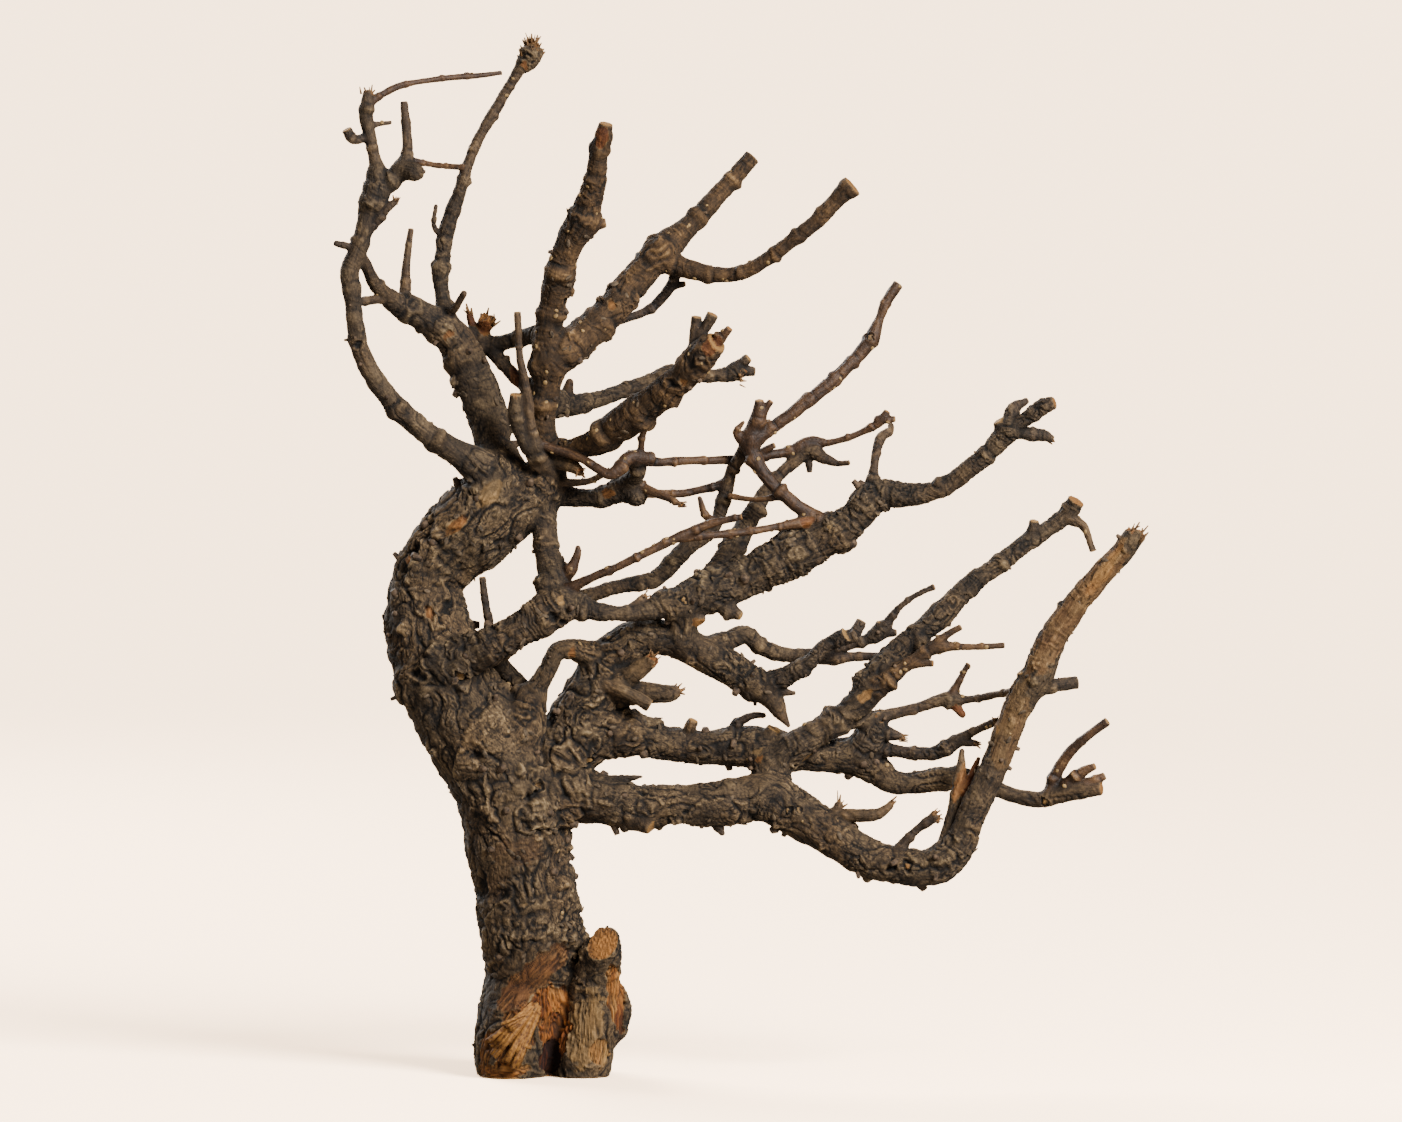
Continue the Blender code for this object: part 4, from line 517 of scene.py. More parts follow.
class Lattice:
    """Seeded gradient noise, worked out for many points at once."""

    SIZE = 256

    def __init__(self, seed: int) -> None:
        """Draw the lattice's order and its gradients.

        Args:
            seed: seeds every draw.
        """
        draw = np.random.default_rng(seed)
        self.order = draw.permutation(self.SIZE).astype(np.int32)
        self.order = np.concatenate([self.order, self.order])
        gradients = draw.normal(size=(self.SIZE, 3, 3))
        gradients /= np.linalg.norm(gradients, axis=2, keepdims=True)
        self.gradients = gradients.astype(np.float32)

    def __call__(self, points: Array, channels: int = 1) -> Array:
        """Return the noise at the points.

        Args:
            points: (n, 3) places, one lattice cell a unit.
            channels: how many unlike noises to return, up to 3.

        Returns:
            (n,) values in about -0.8 to 0.8, or (n, channels).
        """
        cell = np.floor(points).astype(np.int32)
        local = (points - cell).astype(np.float32)
        fade = local * local * local * (local * (local * 6 - 15) + 10)
        cell &= self.SIZE - 1
        total = np.zeros((len(points), channels), np.float32)
        for corner in range(8):
            step = np.array([corner & 1, corner >> 1 & 1, corner >> 2 & 1], np.int32)
            index = self.order[(cell[:, 0] + step[0]) & 255] + cell[:, 1] + step[1]
            index = self.order[index & 255] + cell[:, 2] + step[2]
            index = self.order[index & 255]
            weight = np.prod(np.where(step, fade, 1 - fade), axis=1)
            offset = local - step
            for channel in range(channels):
                slope = np.einsum("ij,ij->i", self.gradients[index, channel], offset)
                total[:, channel] += weight * slope
        return total[:, 0] if channels == 1 else total


NOISE = Lattice(seed=12)


def smooth(value: Array, low: float, high: float) -> Array:
    """Return 0 below low, 1 above high and a smooth step between."""
    share = np.clip((value - low) / (high - low), 0, 1)
    return share * share * (3 - 2 * share)


def ridge_lines(straight: Array) -> Array:
    """Return fine lines along a limb, 0 in the furrows and 1 on the ridges."""
    return np.clip(np.abs(NOISE(straight / (0.8, 0.8, 7.0))) * 3, 0, 1)


class Path:
    """A limb's smooth centre line, with a frame that turns with it."""

    STEP = 1.2  # millimetres between samples on a thin limb
    LEAST_RADIUS = 0.42
    WOBBLE = 0.13  # how far the line wanders, in radii
    SWELL = 0.10  # how far the radius varies, in radii
    BEND = 5.5  # millimetres from one bend of the wander to the next

    def __init__(self, knots: tuple, seed: int = 0, gnarl: float = 1.0) -> None:
        """Sample the line.

        Args:
            knots: (x, y, z, radius) in drawn units.
            seed: sets where the line wanders.
            gnarl: scales how far it wanders.
        """
        samples = self.sample(np.array(knots, float) * UNIT)
        run = np.linalg.norm(np.diff(samples[:, :3], axis=0), axis=1)
        self.arc = np.concatenate([[0], np.cumsum(run)])
        places = np.stack([self.arc / self.BEND, np.full_like(self.arc, seed * 3.7), self.arc * 0], axis=1)
        wander = NOISE(places, 3) * gnarl
        radius = samples[:, 3]
        self.points = samples[:, :3] + wander * (self.WOBBLE * radius)[:, None]
        pulse = NOISE(places * 1.9 + 40)
        self.radius = np.maximum(radius * (1 + self.SWELL * gnarl * pulse), self.LEAST_RADIUS)
        self.turn_frame()

    def sample(self, knots: Array) -> Array:
        """Draw a smooth curve through the knots.

        Args:
            knots: (n, 4) places and radii in millimetres.

        Returns:
            (m, 4) places and radii, closer together on a thin limb.
        """
        padded = np.vstack([2 * knots[0] - knots[1], knots, 2 * knots[-1] - knots[-2]])
        rows = []
        for index in range(1, len(padded) - 2):
            before, start, end, after = padded[index - 1:index + 3]
            span = np.linalg.norm(end[:3] - start[:3])
            step = self.STEP * (1 + 0.08 * (start[3] + end[3]))
            share = np.linspace(0, 1, max(2, math.ceil(span / step)), endpoint=False)[:, None]
            rows.append(0.5 * (
                2 * start
                + (end - before) * share
                + (2 * before - 5 * start + 4 * end - after) * share ** 2
                + (after - before + 3 * start - 3 * end) * share ** 3
            ))
        return np.vstack(rows + [knots[-1:]])

    def turn_frame(self) -> None:
        """Carry a side direction along the line without twist."""
        self.tangent = np.gradient(self.points, axis=0)
        self.tangent /= np.linalg.norm(self.tangent, axis=1, keepdims=True)
        side = np.cross(self.tangent[0], (0.31, 0.9, 0.3))
        sides = []
        for tangent in self.tangent:
            side = side - tangent * side.dot(tangent)
            side = side / np.linalg.norm(side)
            sides.append(side)
        self.side = np.array(sides)
        self.across = np.cross(self.tangent, self.side)

    def local(self, places: Array) -> tuple[Array, Array]:
        """Straighten the limb.

        Args:
            places: (n, 3) points in millimetres.

        Returns:
            (n, 3) side, across and along coordinates, and the (n,) radius of the limb there.
        """
        nearest = np.empty(len(places), np.int64)
        line = self.points.astype(np.float32)
        for start in range(0, len(places), 20000):
            part = places[start:start + 20000].astype(np.float32)
            gap = ((part[:, None] - line[None]) ** 2).sum(2)
            nearest[start:start + 20000] = gap.argmin(1)
        delta = places - self.points[nearest]
        straight = np.stack([
            np.einsum("ij,ij->i", delta, self.side[nearest]),
            np.einsum("ij,ij->i", delta, self.across[nearest]),
            np.einsum("ij,ij->i", delta, self.tangent[nearest]) + self.arc[nearest],
        ], axis=1)
        return straight, self.radius[nearest]


class Flesh:
    """The signed distance to the root's surface on a grid, in millimetres."""

    VOXEL = 0.38
    MARGIN = 3.2  # of the grid round the root
    REACH = 2.4  # how far from a limb its distance is worked out
    FAR = 3.0  # the distance stored where no limb is near
    BLEND = 0.55  # width of the fillet where a limb joins, in its mean radii
    BLEND_LIMITS = (0.7, 2.3)
    TEAR_DEPTH = 1.3  # of a torn end, in radii
    TEAR_WIDTH = 0.62  # of its splinters, in radii

    def __init__(self) -> None:
        """Lay the grid round the CAD model's box."""
        low, high = (np.array(corner) / MM for corner in CAD_BOX)
        self.low = low - self.MARGIN
        self.shape = tuple(np.ceil((high - low + 2 * self.MARGIN) / self.VOXEL).astype(int))
        self.values = np.full(self.shape, self.FAR, np.float32)
        self.owner = np.full(self.shape, -1, np.int16)

    def window(self, low: Array, high: Array) -> tuple[slice, ...]:
        """Return the slices of the grid between two corners."""
        first = np.maximum(np.floor((low - self.low) / self.VOXEL), 0).astype(int)
        last = np.minimum(np.ceil((high - self.low) / self.VOXEL) + 1, self.shape).astype(int)
        return tuple(slice(a, max(a, b)) for a, b in zip(first, last))

    @staticmethod
    def meet(one: tuple[slice, ...], other: tuple[slice, ...]) -> tuple[slice, ...]:
        """Return where two windows overlap."""
        return tuple(slice(max(a.start, b.start), max(min(a.stop, b.stop), max(a.start, b.start)))
                     for a, b in zip(one, other))

    def axes(self, window: tuple[slice, ...]) -> list[Array]:
        """Return the three coordinate arrays of a window, ready to broadcast."""
        lines = [low + self.VOXEL * np.arange(part.start, part.stop) for low, part in zip(self.low, window)]
        return list(np.ix_(*[line.astype(np.float32) for line in lines]))

    def tube(self, path: Path) -> tuple[tuple[slice, ...], Array]:
        """Measure the distance to a limb's tapered tube.

        Args:
            path: the limb's centre line.

        Returns:
            The window of the grid round the limb, and the distances in it.
        """
        reach = path.radius[:, None] + self.REACH
        window = self.window((path.points - reach).min(0), (path.points + reach).max(0))
        patch = np.full([part.stop - part.start for part in window], self.FAR, np.float32)
        for index in range(len(path.points) - 1):
            start, end = path.points[index], path.points[index + 1]
            thick = max(path.radius[index:index + 2]) + self.REACH
            corners = np.minimum(start, end) - thick, np.maximum(start, end) + thick
            near = self.meet(self.window(*corners), window)
            x, y, z = self.axes(near)
            run = (end - start).astype(np.float32)
            share = ((x - start[0]) * run[0] + (y - start[1]) * run[1] + (z - start[2]) * run[2])
            share = np.clip(share / max(float(run @ run), 1e-9), 0, 1)
            square = (
                (x - start[0] - share * run[0]) ** 2
                + (y - start[1] - share * run[1]) ** 2
                + (z - start[2] - share * run[2]) ** 2
            )
            slope = path.radius[index + 1] - path.radius[index]
            distance = np.sqrt(square) - (path.radius[index] + slope * share)
            inner = tuple(slice(a.start - b.start, a.stop - b.start) for a, b in zip(near, window))
            np.minimum(patch[inner], distance, out=patch[inner])
        return window, patch

    def trim(self, limb: Limb, path: Path, window: tuple[slice, ...], patch: Array) -> None:
        """Saw a limb's end flat, or tear it.

        Args:
            limb: the limb.
            path: its centre line.
            window: the window of the grid round it.
            patch: the distances there, which are changed.
        """
        tip, radius = path.points[-1], path.radius[-1]
        direction = path.tangent[-1]
        near = self.meet(self.window(tip - 2.4 * radius, tip + 2.4 * radius), window)
        x, y, z = self.axes(near)
        plane = (x - tip[0]) * direction[0] + (y - tip[1]) * direction[1] + (z - tip[2]) * direction[2]
        if limb.end is TORN:
            grid = np.stack(np.broadcast_arrays(x, y, z), axis=-1).reshape(-1, 3) - tip
            flat = grid - (grid @ direction)[:, None] * direction * 0.8
            splinters = NOISE(flat / (self.TEAR_WIDTH * max(radius, 1.2)) + 7.7).reshape(plane.shape)
            plane = plane + radius * self.TEAR_DEPTH * splinters
        inner = tuple(slice(a.start - b.start, a.stop - b.start) for a, b in zip(near, window))
        np.maximum(patch[inner], plane, out=patch[inner])

    def grow(self, limb: Limb, path: Path, index: int) -> None:
        """Blend a limb into the field.

        Args:
            limb: the limb.
            path: its centre line.
            index: its place in the list of limbs.
        """
        window, patch = self.tube(path)
        if limb.end is not ROUND:
            self.trim(limb, path, window, patch)
        blend = float(np.clip(self.BLEND * path.radius.mean(), *self.BLEND_LIMITS))
        values = self.values[window]
        self.owner[window][patch < values] = index
        overlap = np.maximum(blend - np.abs(values - patch), 0)
        self.values[window] = np.minimum(values, patch) - overlap * overlap / (4 * blend)

    def carve(self, path: Path) -> None:
        """Take a tube away from the field."""
        window, patch = self.tube(path)
        self.values[window] = np.maximum(self.values[window], -patch)

    def pare(self, facet: "Facet") -> None:
        """Cut a flat face into the field.

        Args:
            facet: the face.
        """
        middle = np.array(facet.point)
        near = self.window(middle - facet.reach, middle + facet.reach)
        x, y, z = self.axes(near)
        across = [axis - place for axis, place in zip((x, y, z), facet.point)]
        plane = sum(part * way for part, way in zip(across, facet.facing))
        fade = np.sqrt(sum(part ** 2 for part in across)) - facet.reach
        self.values[near] = np.maximum(self.values[near], np.minimum(plane, -fade))

    def mesh(self) -> tuple[Array, Array, Array]:
        """Saw the foot flat and mesh the field.

        Returns:
            (n, 3) vertices in millimetres, (m, 4) faces and the (n,) index of each vertex's limb.
        """
        height = self.low[2] + self.VOXEL * np.arange(self.shape[2], dtype=np.float32)
        np.maximum(self.values, -height[None, None, :], out=self.values)
        np.clip(self.values, -self.FAR, self.FAR, out=self.values)
        grid = openvdb.FloatGrid(self.FAR)
        grid.copyFromArray(self.values)
        points, _, faces = grid.convertToPolygons(0.0, 0.0)
        cell = np.clip(np.rint(points).astype(int), 0, np.array(self.shape) - 1)
        owner = self.owner[cell[:, 0], cell[:, 1], cell[:, 2]]
        return points * self.VOXEL + self.low, faces.astype(np.int32), np.maximum(owner, 0)


@dataclass(frozen=True)
class Relief:
    """How deep and wide a bark's forms are on a thick limb, in millimetres, and how it is tinted."""

    plate: float  # width of the plates between deep cracks
    plate_depth: float
    stretch: float  # how much longer than wide the plates are
    ridge: float  # width of the squiggly ridges on a plate
    ridge_depth: float
    ring: float  # pitch of the wrinkles across the limb
    ring_depth: float
    warp: float  # how far the forms wander, in their own widths
    node: float  # height of a leaf node, in radii
    curl: float  # how much of the fine squiggle the bark shows
    young: float = 0.0
    ochre: float = 0.0
    dark: float = 0.0
    wood: float = 0.0
    warmth: float = 0.0

    def numbers(self) -> list[float]:
        """Return the fields in order."""
        return list(self.__dict__.values())


RELIEFS = {
    OLD: Relief(5.8, 0.85, 1.9, 1.9, 0.4, 2.2, 0.2, 1.3, 0.0, 0.8, ochre=0.2, dark=0.05),
    RIDGED: Relief(4.6, 0.75, 1.5, 1.9, 0.42, 2.1, 0.5, 1.1, 0.2, 0.5, ochre=0.12, dark=0.1),
    SMOOTH: Relief(6.0, 0.5, 3.0, 1.5, 0.3, 2.0, 0.3, 0.8, 0.22, 0.15, young=0.08),
    OCHRE: Relief(4.8, 0.6, 2.0, 2.0, 0.34, 2.3, 0.32, 0.9, 0.26, 0.1, ochre=0.85),
    RED: Relief(4.0, 0.4, 3.4, 1.2, 0.2, 1.6, 0.2, 0.5, 0.28, 0.1, young=0.85),
    DARK: Relief(3.4, 0.8, 1.4, 1.8, 0.5, 1.8, 0.5, 0.9, 0.24, 0.3, dark=0.6),
    BARE: Relief(4.0, 0.8, 3.4, 1.5, 0.6, 2.0, 0.25, 0.8, 0.06, 0.25, ochre=0.3, wood=0.08, warmth=0.1),
    RUST: Relief(2.2, 0.7, 2.5, 0.9, 0.4, 1.5, 0.2, 0.9, 0.0, 0.2, wood=0.7, warmth=0.8),
}


class Mark(Enum):
    """Small things that happened to the bark in one spot."""

    # A knot's dark hollow is painted shade.
    KNOT = 0  # a healed stub: a pale disc in a dark hollow with a rim
    WART = 1
    # A hollow is a pit that is darkened as painted shade.
    HOLLOW = 2
    SCAR = 3  # concentric arcs
    SWIRL = 4  # a curl of the grain
    CHIP = 5  # a flake gone, with wood below


KNOT, WART, HOLLOW, SCAR, SWIRL, CHIP = Mark


@dataclass(frozen=True)
class Spot:
    """A mark on the side of a limb that faces the front."""

    mark: Mark
    x: float
    z: float
    radius: float
    warmth: float = 0.35


SPOTS = (
    Spot(KNOT, -2, 86.3, 1.7), Spot(KNOT, 13.3, 93.3, 1.5), Spot(KNOT, -24.3, 119, 2.1),
    Spot(CHIP, -33.5, 137.5, 1.8, 0.6), Spot(CHIP, -40.5, 153, 1.6, 0.6), Spot(CHIP, -5.6, 51, 1.2, 0.15),
    Spot(SWIRL, -12, 50, 4.6), Spot(SWIRL, -6, 108, 4.2), Spot(SWIRL, 6, 58, 4.5), Spot(SWIRL, -1, 46, 4),
    Spot(HOLLOW, -3, 84, 2.2), Spot(SWIRL, -30, 128, 4), Spot(HOLLOW, 7, 228, 2.2),
    Spot(HOLLOW, -55.5, 216, 1.4), Spot(SCAR, -36, 141, 5), Spot(SCAR, -30, 152, 5),
    Spot(SWIRL, 34, 243, 4.4), Spot(CHIP, -28, 218.5, 1.5, 0.6), Spot(CHIP, 20, 228, 1.6, 0.55),
    Spot(CHIP, 18.3, 172.5, 1.9, 0.6), Spot(SCAR, 8, 253, 3), Spot(WART, 10, 231, 1.6),
    Spot(WART, 15, 230, 1.5), Spot(WART, 19.5, 234, 1.6), Spot(HOLLOW, 37, 205, 1.8),
    Spot(CHIP, 40.5, 205.5, 1.3, 0.55), Spot(SCAR, 45, 212, 4), Spot(KNOT, 41, 141.8, 1.5),
    Spot(SWIRL, 74, 156, 3.6), Spot(SWIRL, 62, 150, 3.8), Spot(CHIP, 77, 165, 2, 0.7),
    Spot(SWIRL, 86, 107, 3), Spot(KNOT, 95, 218.5, 1.2, 0.2), Spot(KNOT, 147, 80, 1.5),
    Spot(KNOT, 71, 79.5, 1.4, 0.2), Spot(KNOT, 75, 79.7, 1.2, 0.2), Spot(KNOT, 106, 63.5, 2.2, 0.5),
    Spot(HOLLOW, 101.5, 63, 1.8), Spot(WART, 143, 117, 1.8), Spot(WART, 137, 106, 1.6),
    Spot(SCAR, 149, 130, 3.4), Spot(SWIRL, 97, 117, 3.2), Spot(CHIP, 62, 96.5, 1.5, 0.2),
    Spot(CHIP, 62.3, 94, 1.2, 0.6), Spot(CHIP, 5, 142, 1.8, 0.3), Spot(CHIP, 45, 134, 1.5, 0.6),
    Spot(CHIP, 8, 125, 1.5, 0.6), Spot(CHIP, 94, 112, 2, 0.45), Spot(SCAR, -38, 228, 3.4),
    Spot(WART, -51, 257, 1.6), Spot(SWIRL, 30, 81, 3.4), Spot(SWIRL, 52, 121, 3.2),
    Spot(WART, -7, 299, 1.3), Spot(WART, -2.6, 301, 1.2), Spot(HOLLOW, -5, 301.5, 0.9),
    Spot(CHIP, -6.2, 297, 1.3, 0.7), Spot(HOLLOW, -3.4, 298.4, 0.8), Spot(SWIRL, 45, 97, 3.2),
    Spot(SCAR, 25, 100, 4),
)


@dataclass(frozen=True)
class Patch:
    """A place on the front where the bark is gone or smooth: an oval with a ragged edge."""

    x: float
    z: float
    long: float
    wide: float
    angle: float  # of the long axis, degrees from +X
    warmth: float
    strength: float = 1.0
    depth: float = 0.5
    grain: float = 0.5  # depth of the lines along the long axis
    shade: float = 0.0  # added to the tone: below zero is darker
    bare: float = 1.0  # how much of the wood's colour shows


PATCHES = (
    Patch(11.5, 14.5, 12.5, 6.6, 84, 0.26, 0.42, -0.3, 1.0, -0.16),
    Patch(15.8, 7.5, 4.8, 3.2, 80, 0.45, 0.8, 0.4, 0.8, -0.06),
    Patch(-12.5, 2.2, 8, 3.0, 4, 0.55, 0.9, 0.5, 0.4, -0.16),
    Patch(-17.5, 8, 6, 2.2, 80, 0.6, 0.8, 0.3, 0.5, -0.3),
    Patch(2.0, 17.5, 11.0, 5.6, 97, 0.72, 1.0, 0.3, 0.9, -0.18),
    # The notch's darkness is painted shade.
    Patch(1.2, 6, 5.5, 3.0, 90, 0.95, 1.0, 1.1, 0.7, -0.42),
    Patch(3.5, 23, 5, 2.6, 110, 0.56, 0.8, 0.2, 0.7, 0.02),
    # This patch lies under the fan of fibres; its darkness is painted shade.
    Patch(-9, 13, 10.5, 6.2, 58, 0.6, 0.9, 0.9, 0.7, -0.46),
    Patch(-5.0, 28.5, 14, 4.6, 46, 0.62, 0.85, 0.2, 0.3, -0.26, 0.55),
    Patch(2.5, 35, 6.5, 3.2, 50, 0.66, 0.8, 0.2, 0.3, -0.24, 0.5),
    Patch(20.6, 25, 10.5, 2.7, 95, 0.56, 0.9, 0.6, 0.9, -0.15),
    Patch(22, 17, 4.5, 1.2, 92, 0.8, 0.8, 0.2, 0.6, -0.1),
    Patch(-8, 67, 9, 4.6, 10, 0.55, 0.6, 0.1, 0.1, -0.14, 0.16),
    Patch(-14, 60, 9, 3.4, 80, 0.5, 0.5, 0.0, 0.2, -0.1, 0.15),
    Patch(-18, 102, 8.0, 6.0, 35, 0.3, 0.55, -0.9, 0.1, -0.02, 0.06),
    Patch(-26, 163, 5.5, 1.6, 40, 0.6, 0.6, 0.5, 0.3), Patch(-16.5, 172, 6.5, 2.4, 52, 0.2, 0.5, 0.3, 0.3),
    Patch(162, 147.5, 7.5, 1.8, 50, 0.82, 0.6, 0.1, 0.3), Patch(165.5, 153, 6, 1.1, 52, 0.3, 0.6, 0.1, 0.3),
    Patch(-9, 205, 5, 1.4, 95, 0.8, 0.5, 0.1, 0.2), Patch(17, 277, 3.6, 2, 75, 0.82, 0.6, 0.1, 0.2),
    Patch(49, 217, 3.6, 2.6, 40, 0.8, 0.5, 0.1, 0.2), Patch(122, 87, 6, 1.8, 70, 0.6, 0.5, 0.1, 0.3),
    Patch(156, 139, 27, 5.5, 54, 0.5, 0.45, 0.0, 0.2, 0.04, 0.5),
    Patch(137, 105, 14, 5.5, 76, 0.45, 0.4, 0.0, 0.2, 0.02, 0.4),
)

# Thick plates of old bark: a depth below zero stands proud.
PLATES = (
    Patch(4, 86, 14, 9.5, 76, 0, depth=-1.5), Patch(-2, 78, 7, 5, 14, 0, depth=-0.9),
    Patch(9, 97, 9, 6, 60, 0, depth=-0.8), Patch(-21, 88, 13, 4.5, 112, 0, depth=-0.9),
    Patch(10, 58, 12, 5, 84, 0, depth=-0.7), Patch(-14, 42, 11, 4.5, 82, 0, depth=-0.9),
    Patch(-9, 116, 14, 8, 62, 0, depth=-0.6), Patch(-35, 146, 13, 6, 96, 0, depth=-0.9),
    Patch(-27, 168, 10, 5, 48, 0, depth=-0.8), Patch(-2, 47, 9, 6, 20, 0, depth=-0.6),
    Patch(18, 108, 10, 5, 30, 0, depth=-0.8), Patch(-28, 122, 9, 6, 130, 0, depth=-0.7),
    Patch(8, 40, 7, 5, 60, 0, depth=-0.8), Patch(34, 112, 9, 6, 60, 0, depth=-0.8),
    Patch(46, 154, 10, 6, 20, 0, depth=-0.8), Patch(112, 68, 10, 5, 150, 0, depth=-0.6),
    Patch(50, 78, 12, 4.5, 5, 0, depth=-0.6),
)


@dataclass(frozen=True)
class Facet:
    """A flat face that a saw or an axe left: a point on it, the way it faces, and how far it reaches."""

    point: tuple[float, float, float]
    facing: tuple[float, float, float]
    reach: float
    warmth: float = 0.5


FACETS = (
    Facet((17.6, -14.4, 39.4), (-0.25, -0.88, 0.40), 6.2, 0.55),
)


@dataclass
class Skin:
    """The root's surface: vertices that are carved, and what the finish reads at each of them.

    A level runs from 0, a black crack, to 1, a worn edge; beside the bark's own tone it holds painted shade
    in cracks, grooves and hollows, and painted highlight on proud edges. A tint's columns are how young,
    ochre and dark the bark is. Wood's are how much bare wood shows, how rusty it is, and how squiggly the
    bark is.
    """

    RING_PITCH = 0.9  # millimetres between the year rings on a sawn face
    SCATTERED = 190  # marks beside the named ones
    SCATTER = {
        SWIRL: 0.2, SCAR: 0.1, WART: 0.54, HOLLOW: 0.13, KNOT: 0.0, CHIP: 0.03,
    }
    # Painted shade and highlight from the carved surface's own shape: hollows are darkened and proud edges
    # made paler, the edges partly as wear. Rounds of softening, gain, and the limits of the change.
    CAVITY_SHADE_AND_HIGHLIGHT = ((4, 0.8, -0.2, 0.1), (26, 0.5, -0.3, 0.14))

    vertices: Array
    faces: Array
    owner: Array
    paths: list[Path]
    straight: Array = field(init=False)
    radius: Array = field(init=False)
    normal: Array = field(init=False)
    height: Array = field(init=False)
    level: Array = field(init=False)
    tint: Array = field(init=False)
    wood: Array = field(init=False)

    def __post_init__(self) -> None:
        """Straighten every limb and read the vertex normals."""
        self.normal = self.normals()
        self.straight = np.zeros_like(self.vertices)
        self.radius = np.ones(len(self.vertices))
        for index, path in enumerate(self.paths):
            mine = np.nonzero(self.owner == index)[0]
            if len(mine):
                self.straight[mine], self.radius[mine] = path.local(self.vertices[mine])

    def normals(self) -> Array:
        """Return unit vertex normals."""
        corner = self.vertices[self.faces]
        face = np.cross(corner[:, 2] - corner[:, 0], corner[:, 3] - corner[:, 1])
        total = self.gather(np.repeat(face, 4, axis=0), self.faces.ravel())
        return total / np.maximum(np.linalg.norm(total, axis=1, keepdims=True), 1e-12)

    def gather(self, values: Array, index: Array) -> Array:
        """Add rows of values up by vertex."""
        count = len(self.vertices)
        return np.stack([np.bincount(index, values[:, i], count) for i in range(values.shape[1])], axis=1)

    def relax(self, values: Array, rounds: int) -> Array:
        """Even out values along the edges.

        Args:
            values: (n,) one for each vertex.
            rounds: how many times each is averaged with its neighbours.

        Returns:
            (n,) the softer values.
        """
        start = self.faces.ravel()
        end = np.roll(self.faces, -1, axis=1).ravel()
        count = np.maximum(np.bincount(start, minlength=len(values)), 1)
        for _ in range(rounds):
            values = 0.5 * values + 0.5 * np.bincount(start, values[end], len(values)) / count
        return values

    def carve(self) -> None:
        """Work out the bark's relief and tints from each limb's kind of bark."""
        barks = np.array([limb.bark.value for limb in LIMBS])[self.owner]
        table = np.array([RELIEFS[bark].numbers() for bark in Bark])[barks].T
        plate, plate_depth, stretch, ridge, ridge_depth, ring, ring_depth, warp, _, curl = table[:10]
        young, ochre, dark, wood, warmth = table[10:]
        size = np.clip(self.radius / 9, 0.13, 1.0)
        width = np.clip(self.radius / 8, 0.36, 1.0) ** 0.55
        seed = (self.owner * 17.3)[:, None]
        wander = NOISE(self.straight / (2.1 * plate * width)[:, None] + seed, 3)
        along = np.stack([np.ones_like(stretch), np.ones_like(stretch), 1 / stretch], axis=1)
        bent = self.straight + wander * (warp * plate * width * 1.25)[:, None]
        plates = NOISE(bent * along / (plate * width)[:, None] + seed + 3.1)
        plates = np.clip(np.abs(plates) * 6.0, 0, 1) ** 0.7
        squirm = NOISE(self.straight / (1.3 * ridge * width)[:, None] + 9, 3)
        bent = bent + squirm * (0.7 * ridge * width)[:, None]
        ridges = NOISE(bent * along ** 0.7 / (ridge * width)[:, None] + seed + 5.3)
        ridges = np.clip(np.abs(ridges) * 4.4, 0, 1) ** 0.8
        across = np.stack([0.22 / ring, 0.22 / ring, 0.9 / (ring * width)], axis=1)
        rings = np.clip(np.abs(NOISE(bent * across + seed + 1.7)) * 3.0, 0, 1)
        fine = NOISE(self.vertices / 0.75)
        deep = size ** 0.75
        zone = smooth(NOISE(self.vertices / 12 + 8), -0.25, 0.4)
        rough = 0.15 + 1.1 * zone
        lump = NOISE(self.vertices / 4.6 + 2)
        self.height = deep * (
            plate_depth * (plates - 0.7) * (0.35 + 0.9 * zone)
            + ridge_depth * (ridges - 0.6) * (0.35 + 0.65 * plates) * rough
            + ring_depth * (rings - 0.6) * (1.2 - 0.8 * zone)
            + 0.9 * lump
            + 0.12 * fine
        )
        # Cracks, furrows and ring grooves darken the level by their depth: painted shade in the creases.
        crack = 1.2 * plate_depth * (1 - plates) ** 2 * (0.5 + 0.6 * zone)
        furrow = 0.7 * ridge_depth * (1 - ridges) ** 1.5 * rough
        crease_shade = (crack + furrow + 0.5 * ring_depth * (1 - rings) ** 1.5) * size ** 0.35
        mottle = 0.26 * NOISE(self.vertices / 6.5) + 0.16 * NOISE(self.vertices / 2.6 + 4)
        self.level = 0.42 + 0.1 * size - 0.38 * crease_shade + mottle * (1.4 - 0.4 * size) + 0.14 * fine
        thin = smooth(-self.radius, -2.6, -1.2)
        blotch = smooth(NOISE(self.vertices / 13 + 5), -0.15, 0.35)
        young = np.maximum(young, 0.4 * thin)
        self.tint = np.stack([young, ochre + 0.35 * blotch * (1 - ochre), dark], axis=1)
        busy = smooth(NOISE(self.vertices / 16 + 3), -0.3, 0.3)
        curl = curl * smooth(self.radius, 1.5, 5.0) * (0.55 + 0.75 * busy)
        self.wood = np.stack([wood, warmth, curl], axis=1)
        self.swell_nodes()

